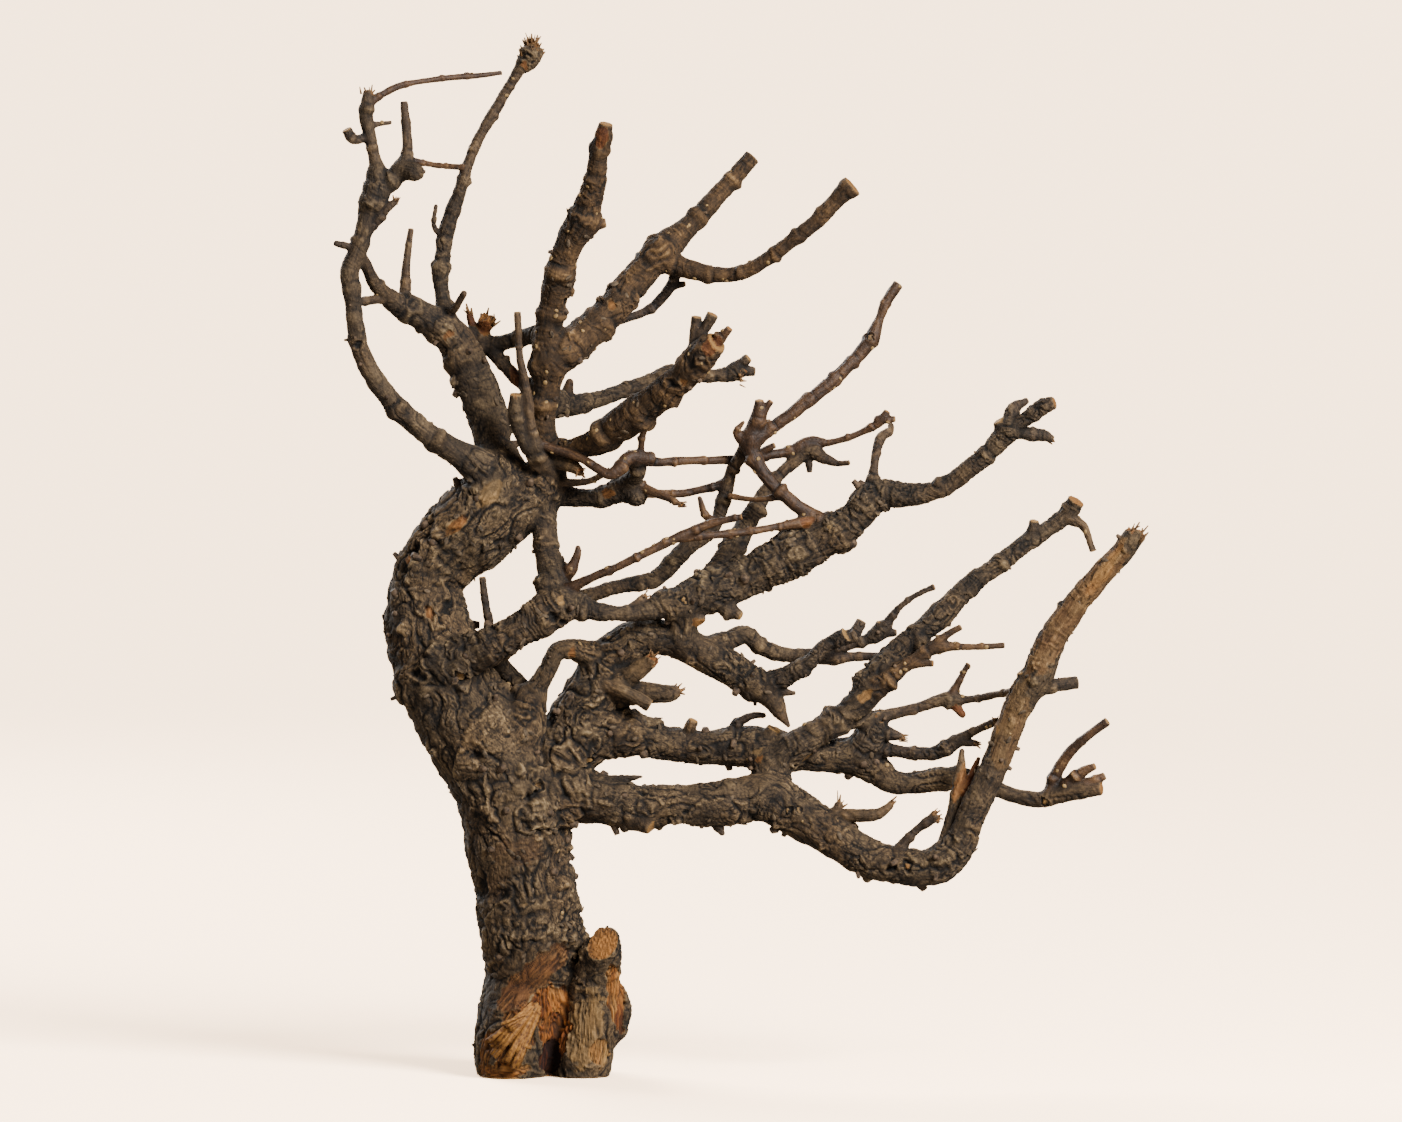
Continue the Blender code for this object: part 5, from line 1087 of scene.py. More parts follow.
    def swell_nodes(self) -> None:
        """Raise the leaf nodes and their bud scars along each limb."""
        draw = np.random.default_rng(5)
        for index, (limb, path) in enumerate(zip(LIMBS, self.paths)):
            share = RELIEFS[limb.bark].node
            mine = np.nonzero(self.owner == index)[0]
            place = draw.uniform(3, 7)
            while share and len(mine) and place < path.arc[-1] - 1.5:
                radius = path.radius[np.searchsorted(path.arc, place)]
                away = (self.straight[mine, 2] - place) / (0.35 + 0.42 * radius)
                turn = draw.uniform(0, 2 * math.pi)
                lean = self.straight[mine, 0] * math.cos(turn) + self.straight[mine, 1] * math.sin(turn)
                lean = np.clip(lean / radius, 0, 1) ** 2
                ridge = np.exp(-away ** 2)
                gain = share * min(radius, 3.2) * draw.uniform(0.6, 1.3)
                crack = np.exp(-((away - 1.25) / 0.35) ** 2)
                broken = smooth(NOISE(self.straight[mine] / (1.5 * radius) + place), -0.25, 0.3)
                self.height[mine] += gain * ridge * (0.2 + 0.6 * broken + 1.2 * lean)
                self.height[mine] -= 0.4 * gain * crack * broken
                # The groove beside each node is darkened as painted shade.
                self.level[mine] += (0.12 * ridge - 0.16 * crack) * broken
                place += draw.uniform(2.6, 5.2) * (1.3 + radius ** 0.6)

    def mark(self) -> None:
        """Put in the spots, both the named ones and a scatter over the thick limbs."""
        front = np.nonzero(self.normal[:, 1] < -0.25)[0]
        for spot in SPOTS:
            gap = (self.vertices[front, 0] - spot.x) ** 2 + (self.vertices[front, 2] - spot.z) ** 2
            close = front[gap < (0.35 + gap.min())]
            anchor = close[self.vertices[close, 1].argmin()]
            self.impress(spot.mark, anchor, spot.radius, spot.warmth)
        draw = np.random.default_rng(31)
        thick = np.nonzero((self.radius > 3.0) & (self.wood[:, 0] < 0.3))[0]
        for anchor in draw.choice(thick, self.SCATTERED, replace=False):
            mark = draw.choice(list(self.SCATTER), p=list(self.SCATTER.values()))
            radius = draw.uniform(0.9, 1.6) * min(1.9, (self.radius[anchor] / 3.4) ** 0.6)
            self.impress(mark, anchor, radius * (1.6 if mark is SWIRL else 1), draw.uniform(0.1, 0.5))

    def impress(self, mark: Mark, anchor: int, radius: float, warmth: float) -> None:
        """Shape one spot.

        Args:
            mark: what it is.
            anchor: index of the vertex at its middle.
            radius: its radius in millimetres.
            warmth: the colour of any wood it shows, from grey (0) to rust (1).
        """
        delta = self.vertices - self.vertices[anchor]
        near = np.nonzero((np.abs(delta) < 2 * radius).all(axis=1))[0]
        near = near[self.normal[near] @ self.normal[anchor] > -0.1]
        delta = delta[near]
        axis = self.normal[anchor]
        flat = delta - (delta @ axis)[:, None] * axis
        side = np.cross(axis, (0.2, 0.1, 0.97))
        side /= np.linalg.norm(side)
        flat = flat + NOISE(self.vertices[near] / (1.1 * radius) + anchor % 97, 3) * radius
        lean = anchor % 7
        long = flat @ (side * math.cos(lean) + np.cross(axis, side) * math.sin(lean))
        wide = flat @ (np.cross(axis, side) * math.cos(lean) - side * math.sin(lean))
        squash = 1.0 if mark in (KNOT, WART) else 1.45
        turn = np.arctan2(wide * squash, long)
        reach = np.hypot(long / squash ** 0.5, wide * squash ** 0.5) / radius
        fade = smooth(-reach, -1.5, -0.9)
        if mark is KNOT:
            disc = smooth(-reach, -0.68, -0.5)
            rim = np.exp(-((reach - 1.15) / 0.2) ** 2)
            moat = np.exp(-((reach - 0.82) / 0.16) ** 2)
            self.height[near] += radius * (0.16 * rim - 0.4 * moat - 0.05 * disc) - disc * self.height[near]
            grain = 0.34 + 0.3 * ridge_lines(self.straight[near])
            # The moat is darkened as painted shade.
            self.level[near] = np.where(disc > 0.5, grain, self.level[near] + 0.03 * rim - 0.26 * moat)
            self.show_wood(near, disc, warmth, 0.7)
        elif mark is WART:
            dome = np.clip(1 - reach ** 2, 0, 1) ** 1.5
            self.height[near] += 0.6 * radius * dome
            self.level[near] += 0.16 * dome
        elif mark is HOLLOW:
            pit = smooth(-reach, -1.1, -0.2)
            lip = np.exp(-((reach - 1.2) / 0.2) ** 2)
            self.height[near] += radius * (0.1 * lip - 0.55 * pit)
            # The pit is darkened as painted shade.
            self.level[near] += 0.04 * lip - 0.42 * pit
        elif mark is CHIP:
            bare = smooth(-reach, -1.0, -0.85)
            self.height[near] = (1 - bare) * self.height[near] - 0.12 * bare
            grain = 0.3 + 0.36 * ridge_lines(self.straight[near])
            self.level[near] = (1 - bare) * self.level[near] + bare * grain
            self.show_wood(near, bare, warmth, 0.55)
        else:
            coil = turn if mark is SWIRL else 0.35 * np.sin(turn * 2)
            wave = np.cos(coil + reach * 2 * math.pi * 1.25)
            self.height[near] = (1 - 0.5 * fade) * self.height[near] + 0.2 * fade * wave
            # The tone follows the arcs' height: a faint painted highlight and shade.
            self.level[near] += 0.045 * fade * wave

    def show_wood(
        self, index: Array, amount: Array, warmth: float | Array, share: float = 1.0, least: float = 0.1,
    ) -> None:
        """Let the wood's colour through.

        Args:
            index: (n,) the vertices.
            amount: (n,) how far each is bared.
            warmth: the wood's colour, from grey (0) to rust (1).
            share: how much of the wood's colour shows where a vertex is fully bared.
            least: the amount past which a vertex takes the warmth.
        """
        self.wood[index, 0] = np.maximum(self.wood[index, 0], share * amount)
        self.wood[index, 1] = np.where(amount > least, warmth, self.wood[index, 1])

    def under(self, patch: Patch, facing: float, thick: float = 0.0) -> tuple[Array, Array, Array]:
        """Find the vertices that a patch may cover.

        Args:
            patch: the patch.
            facing: the most that a normal may point away from the front.
            thick: the least radius of the limb.

        Returns:
            (n,) indices, and how far each vertex lies along and across the long axis.
        """
        turn = math.radians(patch.angle)
        across = self.vertices[:, 0] - patch.x
        up = self.vertices[:, 2] - patch.z
        close = np.hypot(across, up) < 1.5 * patch.long
        near = np.nonzero(close & (self.normal[:, 1] < facing) & (self.radius > thick))[0]
        across, up = across[near], up[near]
        along = across * math.cos(turn) + up * math.sin(turn)
        return near, along, up * math.cos(turn) - across * math.sin(turn)

    def lap(self) -> None:
        """Raise the plates of old bark that lap over what is under them."""
        for patch in PLATES:
            near, long, wide = self.under(patch, 0.3, 5)
            places = self.vertices[near]
            below = places[:, 2] - patch.z < 0
            ragged = NOISE(places / 5 + patch.x) * 0.6 + NOISE(places / 1.8 + patch.z) * 0.2
            border = 1 + ragged - np.hypot(long / patch.long, wide / patch.wide)
            # The crack round each plate is sunk and darkened. The darkening is painted shade, stronger below
            # the plate's middle as a painted shadow under its lower edge.
            crack = np.exp(-((border + 0.03) / 0.05) ** 2)
            crack *= smooth(NOISE(places / 4.2 + patch.long), -0.12, 0.25) * (0.4 + 0.6 * below)
            self.height[near] -= patch.depth * smooth(border, 0, 0.22) + 0.4 * crack
            self.level[near] += 0.1 * smooth(border, 0, 0.15) * (border < 0.3) - 0.34 * crack

    def strip(self) -> None:
        """Take the bark off the patches and draw their grain."""
        for patch in PATCHES:
            near, long, wide = self.under(patch, 0.35)
            places = np.stack([wide, self.vertices[near, 1], long], axis=1)
            ragged = NOISE(places / 3.2 + patch.x) * 0.55 + NOISE(places / 1.1 + patch.z) * 0.2
            inside = smooth(1 + ragged - np.hypot(long / patch.long, wide / patch.wide), 0.0, 0.16)
            inside = inside * patch.strength * smooth(-self.normal[near, 1], -0.35, 0.05)
            bend = NOISE(places / (6, 6, 12) + patch.z, 3) * 1.4
            lines = np.clip(np.abs(NOISE((places + bend) / (0.95, 0.95, 9) + patch.x)) * 3, 0, 1)
            sunk = patch.depth + patch.grain * (0.6 - lines)
            self.height[near] = (1 - 0.8 * inside) * self.height[near] - inside * sunk
            tone = 0.35 + 0.5 * lines + patch.shade
            self.level[near] = (1 - inside) * self.level[near] + inside * tone
            warmth = patch.warmth + 0.25 * NOISE(places / (3, 3, 7) + 2 * patch.x)
            self.show_wood(near, inside, np.clip(warmth, 0, 1), patch.bare, 0.15)

    def face_cuts(self) -> None:
        """Smooth the sawn and torn faces and show their wood."""
        for index, (limb, path) in enumerate(zip(LIMBS, self.paths)):
            if limb.end is ROUND:
                continue
            mine = np.nonzero(self.owner == index)[0]
            axis, radius = path.tangent[-1], path.radius[-1]
            delta = self.vertices[mine] - path.points[-1]
            depth = delta @ axis
            radial = np.linalg.norm(delta - depth[:, None] * axis, axis=1)
            torn = limb.end is TORN
            deep = 1.5 * radius if torn else 0.9
            face = smooth(self.normal[mine] @ axis, 0.45, 0.75)
            face = face * (radial < 1.6 * radius) * (np.abs(depth) < deep)
            rings = 0.5 + 0.5 * np.cos(radial * 2 * math.pi / self.RING_PITCH)
            self.height[mine] *= 1 - face * (0.4 if torn else 0.95)
            self.level[mine] = (1 - face) * self.level[mine] + face * (0.44 + 0.16 * rings)
            warmth = 0.3 + 0.3 * ((index * 7) % 5) / 5
            self.show_wood(mine, face, warmth + (0.2 if torn else 0), 0.85)
            self.level[mine] -= 0.3 * (smooth(radial, 0.75 * radius, radius) * face)
        for facet in FACETS:
            away = self.vertices - facet.point
            near = np.nonzero((np.abs(away) < facet.reach).all(axis=1))[0]
            flat = smooth(self.normal[near] @ facet.facing, 0.8, 0.93)
            flat *= np.abs(away[near] @ facet.facing) < 0.6
            lines = ridge_lines(self.vertices[near])
            self.height[near] = (1 - 0.8 * flat) * self.height[near] - 0.35 * flat * (1 - lines)
            rim = smooth(np.linalg.norm(away[near], axis=1), 0.45 * facet.reach, 0.8 * facet.reach)
            self.level[near] = (1 - flat) * self.level[near] + flat * (0.44 + 0.16 * lines - 0.3 * rim)
            self.show_wood(near, flat, facet.warmth)

    def finish(self) -> None:
        """Soften the seams between limbs, then move every vertex to its carved place."""
        neighbour = np.roll(self.faces, -1, axis=1).ravel()
        seam = (self.owner[self.faces.ravel()] != self.owner[neighbour]).astype(float)
        near_seam = np.zeros(len(self.vertices))
        np.maximum.at(near_seam, self.faces.ravel(), seam)
        near_seam = np.clip(self.relax(near_seam, 5) * 4, 0, 1)
        for name in ("height", "level"):
            values = getattr(self, name)
            setattr(self, name, values + near_seam * (self.relax(values, 5) - values))
        for column in range(3):
            self.tint[:, column] = self.relax(self.tint[:, column], 8)
        self.wood[:, 2] = self.relax(self.wood[:, 2], 8)
        self.wood[:, 0] = self.relax(self.wood[:, 0], 1)
        base = smooth(self.vertices[:, 2], 0.0, 0.6)
        self.height *= np.where(self.normal[:, 2] < -0.7, base, 1)
        self.vertices = self.vertices + self.normal * self.height[:, None]
        self.vertices[:, 2] = np.maximum(self.vertices[:, 2], 0)
        self.normal = self.normals()
        # Painted shade in the hollows and paler proud edges, taken from the surface's own shape.
        for rounds, gain, least, most in self.CAVITY_SHADE_AND_HIGHLIGHT:
            soft = np.stack([self.relax(self.vertices[:, i], rounds) for i in range(3)], axis=1)
            proud = ((self.vertices - soft) * self.normal).sum(axis=1)
            self.level += np.clip(gain * proud, least, most)
        sawn = self.vertices[:, 2] < 0.25
        self.wood[sawn] = (1, 0.35, 0.5)
        self.level[sawn] = 0.6
        self.level = np.clip(self.level, 0, 1)


# The skin is parted at these heights, in millimetres, into closed pieces named from the foot up.
BANDS = (
    ("foot", 56), ("stem", 86), ("lower_limbs", 104), ("bow", 122), ("sling", 142), ("shoulder", 166),
    ("upper_limbs", 192), ("crown", 225), ("crown_tips", 999),
)


def mesh_object(name: str, vertices: Array, faces: Array) -> bpy.types.Object:
    """Make a mesh object in the scene.

    Args:
        name: its name.
        vertices: (n, 3) places in metres.
        faces: (m, 4) vertex indices.

    Returns:
        The object.
    """
    mesh = bpy.data.meshes.new(name)
    mesh.vertices.add(len(vertices))
    mesh.vertices.foreach_set("co", vertices.astype(np.float32).ravel())
    mesh.loops.add(faces.size)
    mesh.loops.foreach_set("vertex_index", faces.astype(np.int32).ravel())
    mesh.polygons.add(len(faces))
    mesh.polygons.foreach_set("loop_start", np.arange(0, faces.size, faces.shape[1], dtype=np.int32))
    mesh.update(calc_edges=True)
    mesh.shade_smooth()
    obj = bpy.data.objects.new(name, mesh)
    bpy.context.scene.collection.objects.link(obj)
    return obj


def put_attribute(mesh: bpy.types.Mesh, name: str, values: Array) -> None:
    """Store one number or one vector for each vertex.

    Args:
        mesh: the mesh.
        name: the attribute's name.
        values: (n,) numbers or (n, 3) vectors.
    """
    kind, key = ("FLOAT", "value") if values.ndim == 1 else ("FLOAT_VECTOR", "vector")
    layer = mesh.attributes.new(name, kind, "POINT")
    layer.data.foreach_set(key, values.astype(np.float32).ravel())


def cap_holes(mesh: bpy.types.Mesh) -> None:
    """Close the loops where the skin was parted, inside the wood.

    Args:
        mesh: the piece's mesh, which is changed.
    """
    work = bmesh.new()
    work.from_mesh(mesh)
    edges = [edge for edge in work.edges if edge.is_boundary]
    made = bmesh.ops.holes_fill(work, edges=edges, sides=0)
    bmesh.ops.triangulate(work, faces=made["faces"])
    work.to_mesh(mesh)
    work.free()


def part_skin(skin: Skin, attributes: dict[str, Array]) -> list[bpy.types.Object]:
    """Part the skin into closed pieces that share their borders exactly.

    Args:
        skin: the carved skin.
        attributes: what the finish reads at each vertex.

    Returns:
        The pieces, each under the export's limit of triangles.
    """
    height = skin.vertices[skin.faces, 2].mean(axis=1)
    objects = []
    low = -1.0
    for title, high in BANDS:
        used, faces = np.unique(skin.faces[(height >= low) & (height < high)], return_inverse=True)
        low = high
        obj = mesh_object(title, skin.vertices[used] * MM, faces.reshape(-1, 4))
        for name, values in attributes.items():
            put_attribute(obj.data, name, values[used])
        cap_holes(obj.data)
        obj.data.normals_split_custom_set_from_vertices(skin.normal[used])
        objects.append(obj)
    return objects


def linear(colour: str) -> tuple[float, float, float, float]:
    """Turn an sRGB hex value into a linear colour."""
    parts = [int(colour[i:i + 2], 16) / 255 for i in (1, 3, 5)]
    return (*[part / 12.92 if part <= 0.04045 else ((part + 0.055) / 1.055) ** 2.4 for part in parts], 1.0)


def add(tree: bpy.types.NodeTree, kind: str, links: dict | None = None, **settings) -> bpy.types.Node:
    """Add a node.

    Args:
        tree: the tree it goes in.
        kind: its type.
        links: for each input, by name or number, a value or the output that feeds it.
        settings: the node's own settings.

    Returns:
        The node.
    """
    node = tree.nodes.new(kind)
    for name, value in settings.items():
        setattr(node, name, value)
    for socket, source in (links or {}).items():
        if isinstance(source, bpy.types.NodeSocket):
            tree.links.new(source, node.inputs[socket])
        else:
            node.inputs[socket].default_value = source
    return node


def blank(owner: bpy.types.ID) -> bpy.types.NodeTree:
    """Empty the node tree of a material or a world.

    Args:
        owner: the material or the world.

    Returns:
        Its tree, without nodes.
    """
    owner.use_nodes = True
    owner.node_tree.nodes.clear()
    return owner.node_tree


@dataclass(frozen=True)
class Ramp:
    """A colour ramp: hex colours and their places, darkest first."""

    stops: tuple[tuple[float, str], ...]

    def build(self, tree: bpy.types.NodeTree, factor: bpy.types.NodeSocket) -> bpy.types.NodeSocket:
        """Add the ramp to a tree.

        Args:
            tree: the tree.
            factor: the output that picks the colour.

        Returns:
            The colour's output.
        """
        node = add(tree, "ShaderNodeValToRGB", {"Fac": factor})
        elements = node.color_ramp.elements
        while len(elements) < len(self.stops):
            elements.new(1.0)
        for element, (place, colour) in zip(elements, self.stops):
            element.position = place
            element.color = linear(colour)
        return node.outputs["Color"]


@dataclass(frozen=True)
class DryBark:
    """Bark of an old, air-dried root, as it grew.

    The eye sees near-black cracks, dull grey-brown plates with paler worn edges, tight red-brown skin
    on the youngest wood, and fibrous tan to rust wood where the bark is gone. The near-black of the cracks
    and hollows is largely painted shade carried in the level, with painted highlight on the proud edges.
    """

    name: str = "dry_bark"
    old: Ramp = Ramp((
        (0.0, "#060402"), (0.22, "#18110a"), (0.48, "#382c1e"), (0.72, "#564631"), (1.0, "#806c4e")))
    ochre: Ramp = Ramp((
        (0.0, "#060402"), (0.22, "#1a1107"), (0.50, "#3a2815"), (0.76, "#594024"), (1.0, "#80623e")))
    young: Ramp = Ramp((
        (0.0, "#080402"), (0.22, "#1b0f07"), (0.52, "#382313"), (0.78, "#573b22"), (1.0, "#85643f")))
    dark: Ramp = Ramp((
        (0.0, "#060403"), (0.28, "#140e09"), (0.58, "#2d2218"), (0.84, "#4d3e2d"), (1.0, "#716048")))
    wood: Ramp = Ramp((
        (0.0, "#7d6a4e"), (0.33, "#a07843"), (0.62, "#8a531f"), (0.82, "#66330f"), (1.0, "#3c1706")))
    fleck_mm: float = 0.5  # crumbs of cork
    streak_mm: float = 0.35  # fibres, drawn out along the limb
    squiggle_mm: float = 2.3  # the worm-like lines on old plates, with finer ones between
    cloud_mm: float = 11.0  # broad weathering
    bump_mm: float = 0.4

    def build(self) -> bpy.types.Material:
        """Make the material.

        Returns:
            The material.
        """
        material = bpy.data.materials.new(self.name)
        tree = blank(material)
        place = add(tree, "ShaderNodeTexCoord").outputs["Object"]
        level, tint, wood, flow = (
            add(tree, "ShaderNodeAttribute", attribute_name=name).outputs
            for name in ("level", "tint", "wood", "flow"))
        young, ochre, dark = add(tree, "ShaderNodeSeparateXYZ", {0: tint["Vector"]}).outputs
        bare, warmth, curly = add(tree, "ShaderNodeSeparateXYZ", {0: wood["Vector"]}).outputs
        run = add(tree, "ShaderNodeMapping", {
            "Vector": flow["Vector"],
            "Scale": (1 / self.streak_mm, 1 / self.streak_mm, 0.14 / self.streak_mm)}).outputs["Vector"]
        streak = add(tree, "ShaderNodeTexNoise", {"Vector": run, "Scale": 1.0, "Detail": 2.0}).outputs["Fac"]
        fleck = add(tree, "ShaderNodeTexNoise", {
            "Vector": place, "Scale": 1 / (self.fleck_mm * MM), "Detail": 3.0,
            "Roughness": 0.65}).outputs["Fac"]
        cloud = add(tree, "ShaderNodeTexNoise", {
            "Vector": place, "Scale": 1 / (self.cloud_mm * MM), "Detail": 2.0}).outputs["Fac"]
        mixed = add(tree, "ShaderNodeMath", {0: streak, 1: fleck}, operation="ADD").outputs[0]
        grain = add(tree, "ShaderNodeMath", {
            0: mixed, 1: 0.42, 2: -0.42}, operation="MULTIPLY_ADD").outputs[0]
        tone = add(tree, "ShaderNodeMath", {0: level["Fac"], 1: grain}, operation="ADD").outputs[0]
        bark = add(tree, "ShaderNodeMath", {0: 1.0, 1: bare}, operation="SUBTRACT").outputs[0]
        curly = add(tree, "ShaderNodeMath", {0: bark, 1: curly}, operation="MULTIPLY").outputs[0]
        # Worm-like squiggle lines: a pattern of the bark's own, drawn dark where the bump sinks them, which
        # is painted shade in those small grooves.
        for size, depth in ((self.squiggle_mm, 0.22), (0.45 * self.squiggle_mm, 0.17)):
            run = add(tree, "ShaderNodeMapping", {
                "Vector": flow["Vector"], "Scale": (1 / size, 1 / size, 0.62 / size)}).outputs["Vector"]
            curl = add(tree, "ShaderNodeTexNoise", {
                "Vector": run, "Scale": 1.0, "Detail": 1.0, "Distortion": 0.7}).outputs["Fac"]
            off = add(tree, "ShaderNodeMath", {0: curl, 1: 0.5}, operation="SUBTRACT").outputs[0]
            off = add(tree, "ShaderNodeMath", {0: off}, operation="ABSOLUTE").outputs[0]
            line = add(tree, "ShaderNodeMapRange", {
                "Value": off, "From Min": 0.0, "From Max": 0.055,
                "To Min": -depth, "To Max": 0.3 * depth}).outputs[0]
            tone = add(tree, "ShaderNodeMath", {
                0: line, 1: curly, 2: tone}, operation="MULTIPLY_ADD").outputs[0]
        colour = self.old.build(tree, tone)
        for ramp, share in ((self.ochre, ochre), (self.young, young), (self.dark, dark)):
            colour = add(tree, "ShaderNodeMix", {
                0: share, 6: colour, 7: ramp.build(tree, tone)}, data_type="RGBA").outputs[2]
        shade = add(tree, "ShaderNodeMapRange", {
            "Value": cloud, "From Min": 0.3, "From Max": 0.7,
            "To Min": 0.72, "To Max": 1.22}).outputs["Result"]
        colour = add(tree, "ShaderNodeVectorMath", {0: colour, "Scale": shade}, operation="SCALE").outputs[0]
        depth = add(tree, "ShaderNodeMapRange", {
            "Value": tone, "From Min": 0.05, "From Max": 0.85,
            "To Min": 0.16, "To Max": 1.2}).outputs["Result"]
        timber = add(tree, "ShaderNodeVectorMath", {
            0: self.wood.build(tree, warmth), "Scale": depth}, operation="SCALE").outputs[0]
        colour = add(tree, "ShaderNodeMix", {0: bare, 6: colour, 7: timber}, data_type="RGBA").outputs[2]
        rough = add(tree, "ShaderNodeMapRange", {
            "Value": young, "To Min": 0.86, "To Max": 0.56}).outputs["Result"]
        bump = add(tree, "ShaderNodeBump", {
            "Height": tone, "Strength": 0.8, "Distance": self.bump_mm * MM}).outputs["Normal"]
        shader = add(tree, "ShaderNodeBsdfPrincipled", {
            "Base Color": colour, "Roughness": rough, "Normal": bump, "Specular IOR Level": 0.3})
        add(tree, "ShaderNodeOutputMaterial", {"Surface": shader.outputs["BSDF"]})
        return material


class Scatter:
    """A Geometry Nodes tree that sets small shapes on points of the skin."""

    def __init__(self, name: str) -> None:
        """Start the tree with its geometry sockets."""
        self.tree = bpy.data.node_groups.new(name, "GeometryNodeTree")
        self.tree.is_modifier = True
        face = self.tree.interface
        face.new_socket("Geometry", in_out="INPUT", socket_type="NodeSocketGeometry")
        face.new_socket("Geometry", in_out="OUTPUT", socket_type="NodeSocketGeometry")
        self.ids: dict[str, str] = {}
        self.start = self.tree.nodes.new("NodeGroupInput")

    def input(self, name: str, kind: str = "NodeSocketFloat") -> None:
        """Add a named input to the tree."""
        socket = self.tree.interface.new_socket(name, in_out="INPUT", socket_type=kind)
        self.ids[name] = socket.identifier

    def close(
        self, points: bpy.types.NodeSocket, shape: bpy.types.NodeSocket, rotation: bpy.types.NodeSocket,
        scale: bpy.types.NodeSocket, material: bpy.types.Material,
    ) -> None:
        """Set a shape on the points, realize the copies and dress them.

        Args:
            points: where the copies go.
            shape: the shape.
            rotation: how each is turned.
            scale: how large each is.
            material: what they are dressed in.
        """
        copies = add(self.tree, "GeometryNodeInstanceOnPoints", {
            "Points": points, "Instance": shape, "Rotation": rotation, "Scale": scale})
        solid = add(self.tree, "GeometryNodeRealizeInstances", {"Geometry": copies.outputs["Instances"]})
        smooth_shape = add(self.tree, "GeometryNodeSetShadeSmooth", {"Geometry": solid.outputs[0]})
        dressed = add(self.tree, "GeometryNodeSetMaterial", {
            "Geometry": smooth_shape.outputs[0], "Material": material})
        add(self.tree, "NodeGroupOutput", {"Geometry": dressed.outputs[0]})

    def run(self, host: bpy.types.Object, name: str, values: dict[str, object]) -> bpy.types.Object:
        """Run the tree on a host mesh and return the result as a plain mesh object.

        Args:
            host: the object whose mesh the tree reads. It is removed.
            name: the new object's name.
            values: a value for each named input.

        Returns:
            The new object.
        """
        modifier = host.modifiers.new(name, "NODES")
        modifier.node_group = self.tree
        for key, value in values.items():
            modifier[self.ids[key]] = value
        graph = bpy.context.evaluated_depsgraph_get()
        mesh = bpy.data.meshes.new_from_object(host.evaluated_get(graph))
        host.modifiers.remove(modifier)
        bpy.data.objects.remove(host)
        mesh.name = name
        result = bpy.data.objects.new(name, mesh)
        bpy.context.scene.collection.objects.link(result)
        return result


class Grains(Scatter):
    """Flat, rounded grains that lie on a surface: lenticels and bark flakes."""

    def __init__(self, name: str, material: bpy.types.Material) -> None:
        """Build the tree.

        Args:
            name: the tree's name.
            material: what the grains are dressed in.
        """
        super().__init__(name)
        for key in ("Density", "Length", "Width", "Height", "Spread", "Tilt"):
            self.input(key)
        self.input("Seed", "NodeSocketInt")
        tree, start = self.tree, self.start.outputs
        share = add(tree, "GeometryNodeInputNamedAttribute", {"Name": "share"}, data_type="FLOAT")
        density = add(tree, "ShaderNodeMath", {
            0: share.outputs[0], 1: start["Density"]}, operation="MULTIPLY")
        points = add(tree, "GeometryNodeDistributePointsOnFaces", {
            "Mesh": start["Geometry"], "Density": density.outputs[0], "Seed": start["Seed"]})
        ball = add(tree, "GeometryNodeMeshIcoSphere", {"Radius": 1.0, "Subdivisions": 2})
        size = add(tree, "ShaderNodeCombineXYZ", {
            "X": start["Width"], "Y": start["Length"], "Z": start["Height"]})
        shape = add(tree, "GeometryNodeTransform", {
            "Geometry": ball.outputs["Mesh"], "Scale": size.outputs[0]})
        tilt = add(tree, "ShaderNodeMath", {0: start["Tilt"], 1: -1.0}, operation="MULTIPLY")
        low = add(tree, "ShaderNodeCombineXYZ", {"X": tilt.outputs[0], "Y": tilt.outputs[0], "Z": 0.0})
        high = add(tree, "ShaderNodeCombineXYZ", {"X": start["Tilt"], "Y": start["Tilt"], "Z": 2 * math.pi})
        lean = add(tree, "FunctionNodeRandomValue", {
            "Min": low.outputs[0], "Max": high.outputs[0], "Seed": start["Seed"]}, data_type="FLOAT_VECTOR")
        turned = add(tree, "FunctionNodeRotateRotation", {
            "Rotation": points.outputs["Rotation"],
            "Rotate By": add(tree, "FunctionNodeEulerToRotation", {0: lean.outputs[0]}).outputs[0],
        }, rotation_space="LOCAL")
        least = add(tree, "ShaderNodeMath", {0: 1.0, 1: start["Spread"]}, operation="SUBTRACT")
        most = add(tree, "ShaderNodeMath", {0: 1.0, 1: start["Spread"]}, operation="ADD")
        scale = add(tree, "FunctionNodeRandomValue", {
            2: least.outputs[0], 3: most.outputs[0], "Seed": start["Seed"]}, data_type="FLOAT")
        self.close(points.outputs["Points"], shape.outputs[0], turned.outputs[0], scale.outputs[1], material)


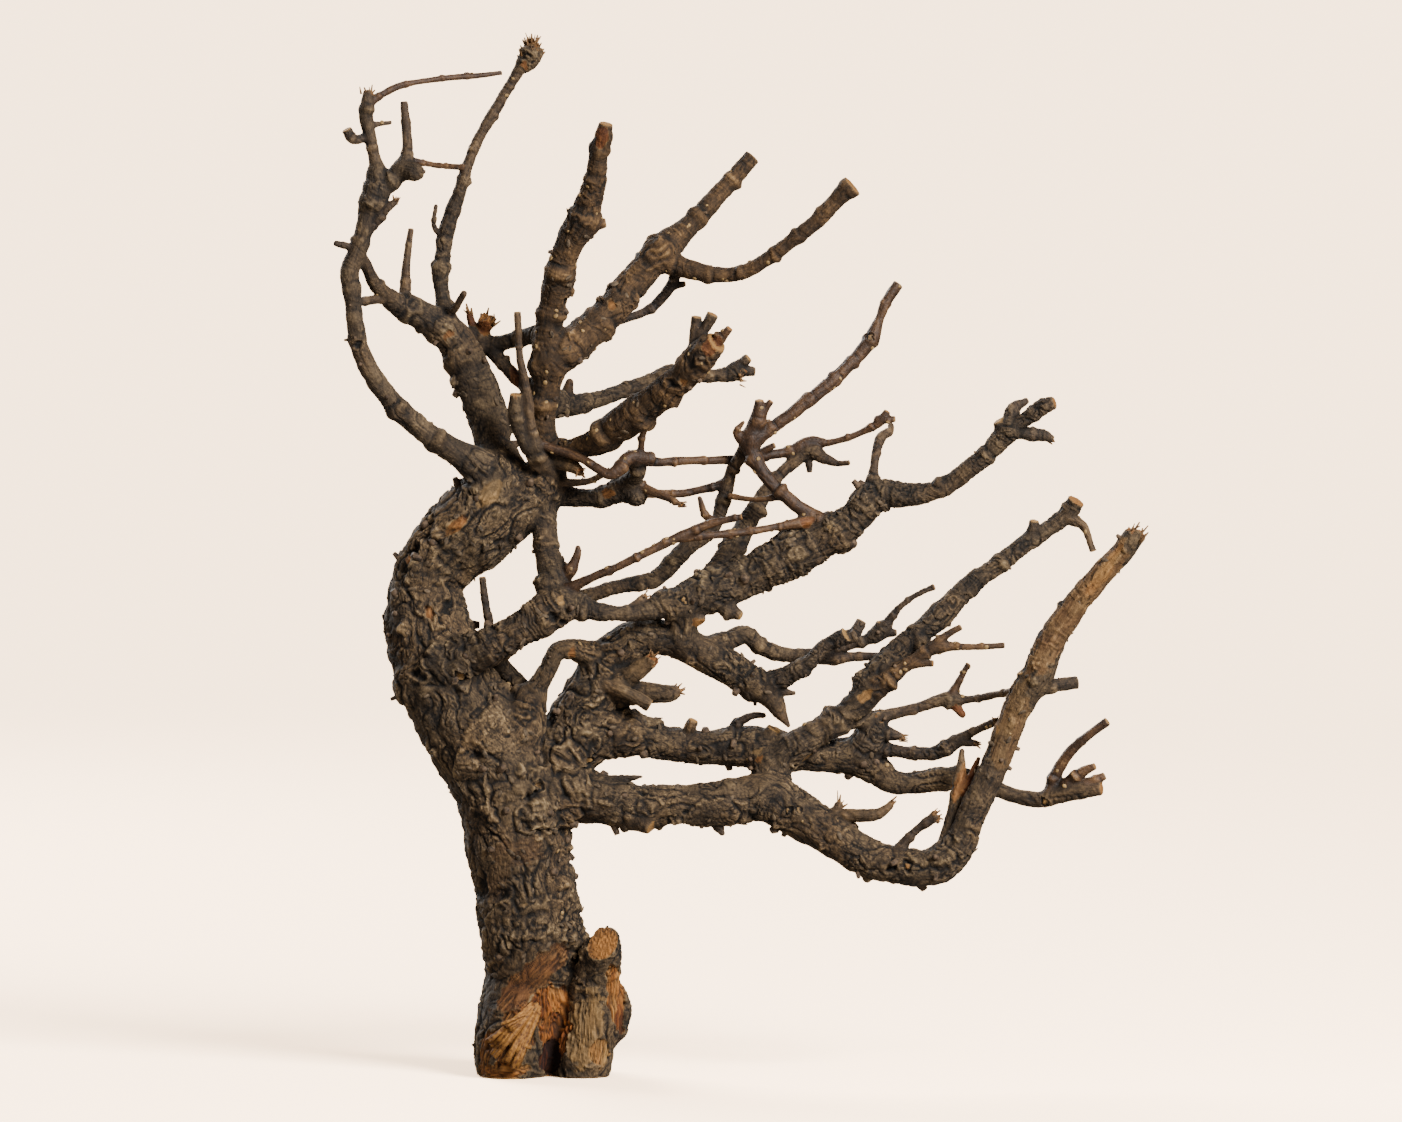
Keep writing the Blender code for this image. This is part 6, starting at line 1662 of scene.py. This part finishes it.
class Spikes(Scatter):
    """Tapered spikes that stand on given points: torn fibres, splinters and pegs."""

    def __init__(self, name: str, sides: int, material: bpy.types.Material) -> None:
        """Build the tree.

        Args:
            name: the tree's name.
            sides: corners of a spike's section.
            material: what the spikes are dressed in.
        """
        super().__init__(name)
        for key in ("Radius", "Tip"):
            self.input(key)
        tree, start = self.tree, self.start.outputs
        points = add(tree, "GeometryNodeMeshToPoints", {"Mesh": start["Geometry"]})
        cone = add(tree, "GeometryNodeMeshCone", {
            "Vertices": sides, "Side Segments": 3, "Radius Top": start["Tip"],
            "Radius Bottom": start["Radius"], "Depth": 1.0})
        aim = add(tree, "GeometryNodeInputNamedAttribute", {"Name": "aim"}, data_type="FLOAT_VECTOR")
        length = add(tree, "ShaderNodeVectorMath", {0: aim.outputs[0]}, operation="LENGTH")
        thick = add(tree, "GeometryNodeInputNamedAttribute", {"Name": "thick"}, data_type="FLOAT")
        size = add(tree, "ShaderNodeCombineXYZ", {
            "X": thick.outputs[0], "Y": thick.outputs[0], "Z": length.outputs["Value"]})
        turned = add(tree, "FunctionNodeAlignRotationToVector", {"Vector": aim.outputs[0]}, axis="Z")
        self.close(points.outputs[0], cone.outputs["Mesh"], turned.outputs[0], size.outputs[0], material)


def point_host(name: str, places: Array, aims: Array, thick: Array) -> bpy.types.Object:
    """Make a host of loose points with what Spikes reads.

    Args:
        name: its name.
        places: (n, 3) roots of the spikes in millimetres.
        aims: (n, 3) where each spike points; its length is the spike's, in millimetres.
        thick: (n,) thickness of each, as a share of the tree's radius.

    Returns:
        The host.
    """
    mesh = bpy.data.meshes.new(name)
    mesh.vertices.add(len(places))
    mesh.vertices.foreach_set("co", (places * MM).astype(np.float32).ravel())
    put_attribute(mesh, "aim", aims * MM)
    put_attribute(mesh, "thick", thick)
    obj = bpy.data.objects.new(name, mesh)
    bpy.context.scene.collection.objects.link(obj)
    return obj


@dataclass(frozen=True)
class Tissue:
    """A plain dry tissue with mottled colour: cork of lenticels, dead flakes, torn fibres, peg wood."""

    name: str
    low: str
    high: str
    roughness: float = 0.8
    mottle_mm: float = 1.2

    def build(self) -> bpy.types.Material:
        """Make the material.

        Returns:
            The material.
        """
        material = bpy.data.materials.new(self.name)
        tree = blank(material)
        place = add(tree, "ShaderNodeTexCoord").outputs["Object"]
        noise = add(tree, "ShaderNodeTexNoise", {
            "Vector": place, "Scale": 1 / (self.mottle_mm * MM), "Detail": 3.0}).outputs["Fac"]
        colour = Ramp(((0.32, self.low), (0.66, self.high))).build(tree, noise)
        bump = add(tree, "ShaderNodeBump", {"Height": noise, "Strength": 0.5, "Distance": 0.1 * MM})
        shader = add(tree, "ShaderNodeBsdfPrincipled", {
            "Base Color": colour, "Roughness": self.roughness, "Normal": bump.outputs[0],
            "Specular IOR Level": 0.3})
        add(tree, "ShaderNodeOutputMaterial", {"Surface": shader.outputs["BSDF"]})
        return material


@dataclass(frozen=True)
class Fan:
    """Split fibres that spread from one root, in millimetres and in degrees from +X."""

    root: tuple[float, float]
    inner: float  # from the root to where the fibres start
    outer: float  # and to the farthest that one ends
    first: float
    last: float
    count: int


@dataclass
class Growth:
    """Everything small that grows on the skin or has broken from it."""

    FANS = (
        Fan((0.8, 26.5), 5, 25.5, 220, 248, 24), Fan((-1.0, 21.0), 3, 13, 203, 216, 5),
        Fan((-9.5, 9.9), 0, 5.5, -6, 4, 3),
    )
    skin: Skin
    seed: int = 77
    knob_splinters: int = 60  # on the torn knob of the tallest twig
    knob_length: float = 7.0  # millimetres of that twig's end
    peg_count: int = 300

    def __post_init__(self) -> None:
        """Start the draws."""
        self.draw = np.random.default_rng(self.seed)

    def host(self, name: str, share: Array) -> bpy.types.Object:
        """Copy the skin's faces that have a share of a scatter.

        Args:
            name: its name.
            share: (n,) density at each vertex, 0 to 1.

        Returns:
            The copy.
        """
        faces = self.skin.faces[share[self.skin.faces].min(axis=1) > 0.02]
        used, faces = np.unique(faces, return_inverse=True)
        obj = mesh_object(name, self.skin.vertices[used] * MM, faces.reshape(-1, 4))
        put_attribute(obj.data, "share", share[used])
        return obj

    def lenticels(self) -> bpy.types.Object:
        """Set out pale breathing pores, about a millimetre long, on the young and ochre limbs.

        Returns:
            The piece.
        """
        cork = Tissue("cork_of_lenticels", "#5f4a2e", "#97794d").build()
        skin = self.skin
        share = np.clip(skin.tint[:, 1] + 0.8 * skin.tint[:, 0] - 0.25, 0, 1) * (skin.wood[:, 0] < 0.2)
        share *= smooth(skin.level, 0.25, 0.4)
        return Grains("set_lenticels", cork).run(self.host("pore_host", share), "lenticels", {
            "Density": 0.026 / MM ** 2, "Length": 0.64 * MM, "Width": 0.5 * MM, "Height": 0.24 * MM,
            "Spread": 0.35, "Tilt": 0.12, "Seed": 4})

    def flakes(self) -> bpy.types.Object:
        """Set out loose chips of dead bark on the thick limbs, which roughen the outline.

        Returns:
            The piece.
        """
        dead = Tissue("dead_bark_flakes", "#1b140d", "#5c4b37").build()
        skin = self.skin
        share = smooth(skin.radius, 2.6, 6.0) * (skin.wood[:, 0] < 0.3) * smooth(skin.vertices[:, 2], 1.5, 4)
        share *= 0.4 + 0.6 * smooth(skin.level, 0.5, 0.8)
        return Grains("set_flakes", dead).run(self.host("flake_host", share), "bark_flakes", {
            "Density": 0.042 / MM ** 2, "Length": 1.15 * MM, "Width": 0.55 * MM, "Height": 0.24 * MM,
            "Spread": 0.45, "Tilt": 0.45, "Seed": 9})

    def torn_fibres(self) -> bpy.types.Object:
        """Set out fibres that stand out of the torn ends.

        Returns:
            The piece.
        """
        fibre = Tissue("torn_fibres", "#2e1d10", "#7c5a36").build()
        places, aims = [], []
        for limb, path in zip(LIMBS, self.skin.paths):
            if limb.end is not TORN:
                continue
            radius = path.radius[-1]
            for _ in range(int(6 + 5 * radius)):
                lean = self.draw.normal(size=3) * 0.42
                offset = path.side[-1] * self.draw.normal() + path.across[-1] * self.draw.normal()
                offset = offset * 0.42 * radius
                places.append(path.points[-1] - path.tangent[-1] * 0.9 + offset)
                aims.append((path.tangent[-1] + lean) * self.draw.uniform(1.0, 1.5 + 0.5 * radius))
        whip = next(path for limb, path in zip(LIMBS, self.skin.paths) if limb.name == "whip")
        for _ in range(self.knob_splinters):
            turn = self.draw.uniform(0, 2 * math.pi)
            out = whip.side[-1] * math.cos(turn) + whip.across[-1] * math.sin(turn)
            place = np.searchsorted(whip.arc, whip.arc[-1] - self.draw.uniform(0, self.knob_length))
            places.append(whip.points[place] + out * whip.radius[place] * 0.8)
            aims.append((out * self.draw.uniform(0.2, 0.8) + whip.tangent[-1]) * self.draw.uniform(1.0, 2.8))
        thick = self.draw.uniform(0.5, 1.3, len(places))
        host = point_host("fibre_host", np.array(places), np.array(aims), thick)
        return Spikes("set_fibres", 5, fibre).run(host, "torn_fibres", {"Radius": 0.46 * MM, "Tip": 0.2 * MM})

    def pegs(self) -> bpy.types.Object:
        """Set out short dead pegs and bud scars along the limbs.

        Returns:
            The piece.
        """
        wood = Tissue("peg_wood", "#1c130c", "#5d4936").build()
        skin = self.skin
        good = np.nonzero((skin.radius > 0.85) & (skin.wood[:, 0] < 0.2) & (skin.vertices[:, 2] > 30))[0]
        picks = self.draw.choice(good, self.peg_count, replace=False)
        size = np.clip(skin.radius[picks] / 3.5, 0.5, 1.6)
        aims = skin.normal[picks] + self.draw.normal(size=(len(picks), 3)) * 0.35
        aims *= (self.draw.uniform(0.8, 1.2, len(picks)) * size)[:, None]
        places = skin.vertices[picks] - skin.normal[picks] * 0.4
        host = point_host("peg_host", places, aims, size * self.draw.uniform(0.6, 1.3, len(picks)))
        return Spikes("set_pegs", 7, wood).run(host, "pegs", {"Radius": 0.85 * MM, "Tip": 0.55 * MM})

    def foot_fan(self) -> bpy.types.Object:
        """Set out the fan of torn golden fibres at the foot's front, and two small bundles beside it.

        Returns:
            The piece.
        """
        gold = Tissue("golden_fibres", "#4a2a0e", "#99692f", 0.7, 0.9).build()
        skin = self.skin
        front = np.nonzero((skin.normal[:, 1] < 0) & (skin.vertices[:, 2] < 45))[0]
        plan = skin.vertices[front][:, (0, 2)]

        def lay(x: float, z: float, lift: float) -> Array:
            """Return the place on the front of the foot at x and z."""
            near = ((plan - (x, z)) ** 2).sum(1).argsort()[:12]
            return np.array((x, skin.vertices[front[near], 1].min() - lift, z))

        places, aims, thick = [], [], []
        for fan in self.FANS:
            for turn in np.linspace(math.radians(fan.first), math.radians(fan.last), fan.count):
                turn += self.draw.normal() * 0.025
                reach = fan.outer * self.draw.uniform(0.72, 1.0)
                start = fan.inner + (fan.outer - fan.inner) * self.draw.uniform(0.0, 0.35)
                way = np.array((math.cos(turn), math.sin(turn)))
                begin = lay(*(fan.root + way * start), 0.0)
                stop = lay(*(fan.root + way * reach), self.draw.uniform(0.1, 3.0))
                places.append(begin)
                aims.append(stop - begin)
                thick.append(self.draw.uniform(0.6, 2.0))
        host = point_host("fan_host", np.array(places), np.array(aims), np.array(thick))
        return Spikes("set_fan", 6, gold).run(host, "foot_fan", {"Radius": 0.4 * MM, "Tip": 0.56 * MM})


@dataclass(frozen=True)
class Lamp:
    """A square area light that faces the root."""

    name: str
    place: tuple[float, float, float]
    size: float  # side of its square, in metres
    watts: float

    def build(self) -> None:
        """Hang the lamp and turn it to the root's middle."""
        data = bpy.data.lights.new(self.name, "AREA")
        data.size = self.size
        data.energy = self.watts
        lamp = bpy.data.objects.new(self.name, data)
        lamp.location = self.place
        middle = (CAD_BOX[0] + CAD_BOX[1]) / 2
        lamp.rotation_euler = (middle - Vector(self.place)).to_track_quat("-Z", "Y").to_euler()
        bpy.context.scene.collection.objects.link(lamp)


@dataclass(frozen=True)
class Studio:
    """A plain pale floor, soft light and a long lens."""

    lens_mm: float = 300.0
    sensor_mm: float = 36.0
    frame_width: float = 0.4123  # of the view at the root, in metres
    raise_angle: float = math.radians(3.0)
    aim_shift: float = -0.0115  # the root stands right of the view's middle by this much
    paper_colour: str = "#ffdcb6"  # the light's warmth on the paper, as a bright exposure shows it
    paper_gain: float = 3.2  # how much brighter than the root's light the paper is exposed
    paper_return: str = "#8a837b"  # the colour of the light that the paper sends back to the root
    far_colour: tuple[float, float, float, float] = (5.3, 3.8, 2.45, 1.0)
    fade_out: tuple[float, float] = (0.3, 1.8)  # metres from the root over which the paper turns even
    air_colour: str = "#f6efe6"
    air_strength: float = 0.16
    floor_half: float = 60.0  # metres from the root to the sheet's edges
    lamps: tuple[Lamp, ...] = (
        Lamp("key_light", (0.9, -1.05, 0.9), 0.6, 66),
        Lamp("fill_light", (-1.3, -1.0, 0.7), 1.4, 6),
        Lamp("back_light", (-0.9, 1.5, 1.1), 1.3, 80),
    )

    def build(self) -> None:
        """Make the stage, the lights and the camera."""
        self.floor()
        self.world()
        for lamp in self.lamps:
            lamp.build()
        self.camera()

    def floor(self) -> None:
        """Lay a wide flat sheet of paper: lit near the root, evenly bright far from it on every side."""
        half = self.floor_half
        corners = np.array([(-half, -half, 0.0), (half, -half, 0.0), (half, half, 0.0), (-half, half, 0.0)])
        sheet = mesh_object("paper_floor", corners, np.array([(0, 1, 2, 3)]))
        paper = bpy.data.materials.new("warm_white_paper")
        tree = blank(paper)
        seen = add(tree, "ShaderNodeLightPath").outputs["Is Camera Ray"]
        bright = tuple(self.paper_gain * part for part in linear(self.paper_colour)[:3]) + (1.0,)
        colour = add(tree, "ShaderNodeMix", {
            0: seen, 6: linear(self.paper_return), 7: bright},
            data_type="RGBA", clamp_result=False).outputs[2]
        matt = add(tree, "ShaderNodeBsdfDiffuse", {"Color": colour}).outputs["BSDF"]
        glow = add(tree, "ShaderNodeEmission", {
            "Color": self.far_colour, "Strength": seen}).outputs["Emission"]
        away = add(tree, "ShaderNodeVectorMath", {
            0: add(tree, "ShaderNodeTexCoord").outputs["Object"]}, operation="LENGTH").outputs["Value"]
        near, far = self.fade_out
        share = add(tree, "ShaderNodeMapRange", {
            "Value": away, "From Min": near, "From Max": far, "To Min": 0.0, "To Max": 1.0},
            interpolation_type="SMOOTHSTEP").outputs[0]
        both = add(tree, "ShaderNodeMixShader", {0: share, 1: matt, 2: glow}).outputs[0]
        add(tree, "ShaderNodeOutputMaterial", {"Surface": both})
        sheet.data.materials.append(paper)

    def world(self) -> None:
        """Fill the air with even warm-white light, as bright to the eye as the far paper."""
        world = bpy.data.worlds.new("studio_air")
        bpy.context.scene.world = world
        tree = blank(world)
        seen = add(tree, "ShaderNodeLightPath").outputs["Is Camera Ray"]
        light = tuple(self.air_strength * part for part in linear(self.air_colour)[:3]) + (1.0,)
        colour = add(tree, "ShaderNodeMix", {
            0: seen, 6: light, 7: self.far_colour}, data_type="RGBA", clamp_result=False).outputs[2]
        air = add(tree, "ShaderNodeBackground", {"Color": colour, "Strength": 1.0}).outputs["Background"]
        add(tree, "ShaderNodeOutputWorld", {"Surface": air})

    def camera(self) -> None:
        """Add the camera in front of the root, a little above its middle."""
        data = bpy.data.cameras.new("camera")
        data.lens = self.lens_mm
        data.sensor_width = self.sensor_mm
        data.clip_end = 30
        camera = bpy.data.objects.new("camera", data)
        distance = self.frame_width * self.lens_mm / self.sensor_mm
        aim = (CAD_BOX[0] + CAD_BOX[1]) / 2 + Vector((self.aim_shift, 0, 0))
        away = Vector((0, -math.cos(self.raise_angle), math.sin(self.raise_angle)))
        camera.location = aim + away * distance
        camera.rotation_euler = (-away).to_track_quat("-Z", "Y").to_euler()
        bpy.context.scene.collection.objects.link(camera)
        bpy.context.scene.camera = camera


def grow_skin() -> Skin:
    """Grow the limbs together, mesh them and carve the bark.

    Returns:
        The finished skin.
    """
    flesh = Flesh()
    paths = [
        Path(limb.knots, index, OLD_GNARL if limb.bark is OLD else 1.0)
        for index, limb in enumerate(LIMBS)]
    for index, (limb, path) in enumerate(zip(LIMBS, paths)):
        flesh.grow(limb, path, index)
    for knots in HOLLOWS:
        flesh.carve(Path(knots))
    for facet in FACETS:
        flesh.pare(facet)
    skin = Skin(*flesh.mesh(), paths)
    LOG.info("skin: %d vertices", len(skin.vertices))
    skin.carve()
    skin.lap()
    skin.mark()
    skin.strip()
    skin.face_cuts()
    skin.finish()
    return skin


def main() -> None:
    """Build the root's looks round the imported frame."""
    logging.basicConfig(level=logging.INFO, format="%(name)s: %(message)s")
    skin = grow_skin()
    bark = DryBark().build()
    pieces = part_skin(skin, {
        "level": skin.level, "tint": skin.tint, "wood": skin.wood, "flow": skin.straight})
    for piece in pieces:
        piece.data.materials.append(bark)
    growth = Growth(skin)
    pieces += [growth.lenticels(), growth.flakes(), growth.torn_fibres(), growth.pegs(), growth.foot_fan()]
    for piece in pieces:
        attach(piece, "root")
        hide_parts("dry_root")
        LOG.info("%s: %d faces", piece.name, len(piece.data.polygons))
    Studio().build()


if __name__ == "__main__":
    main()
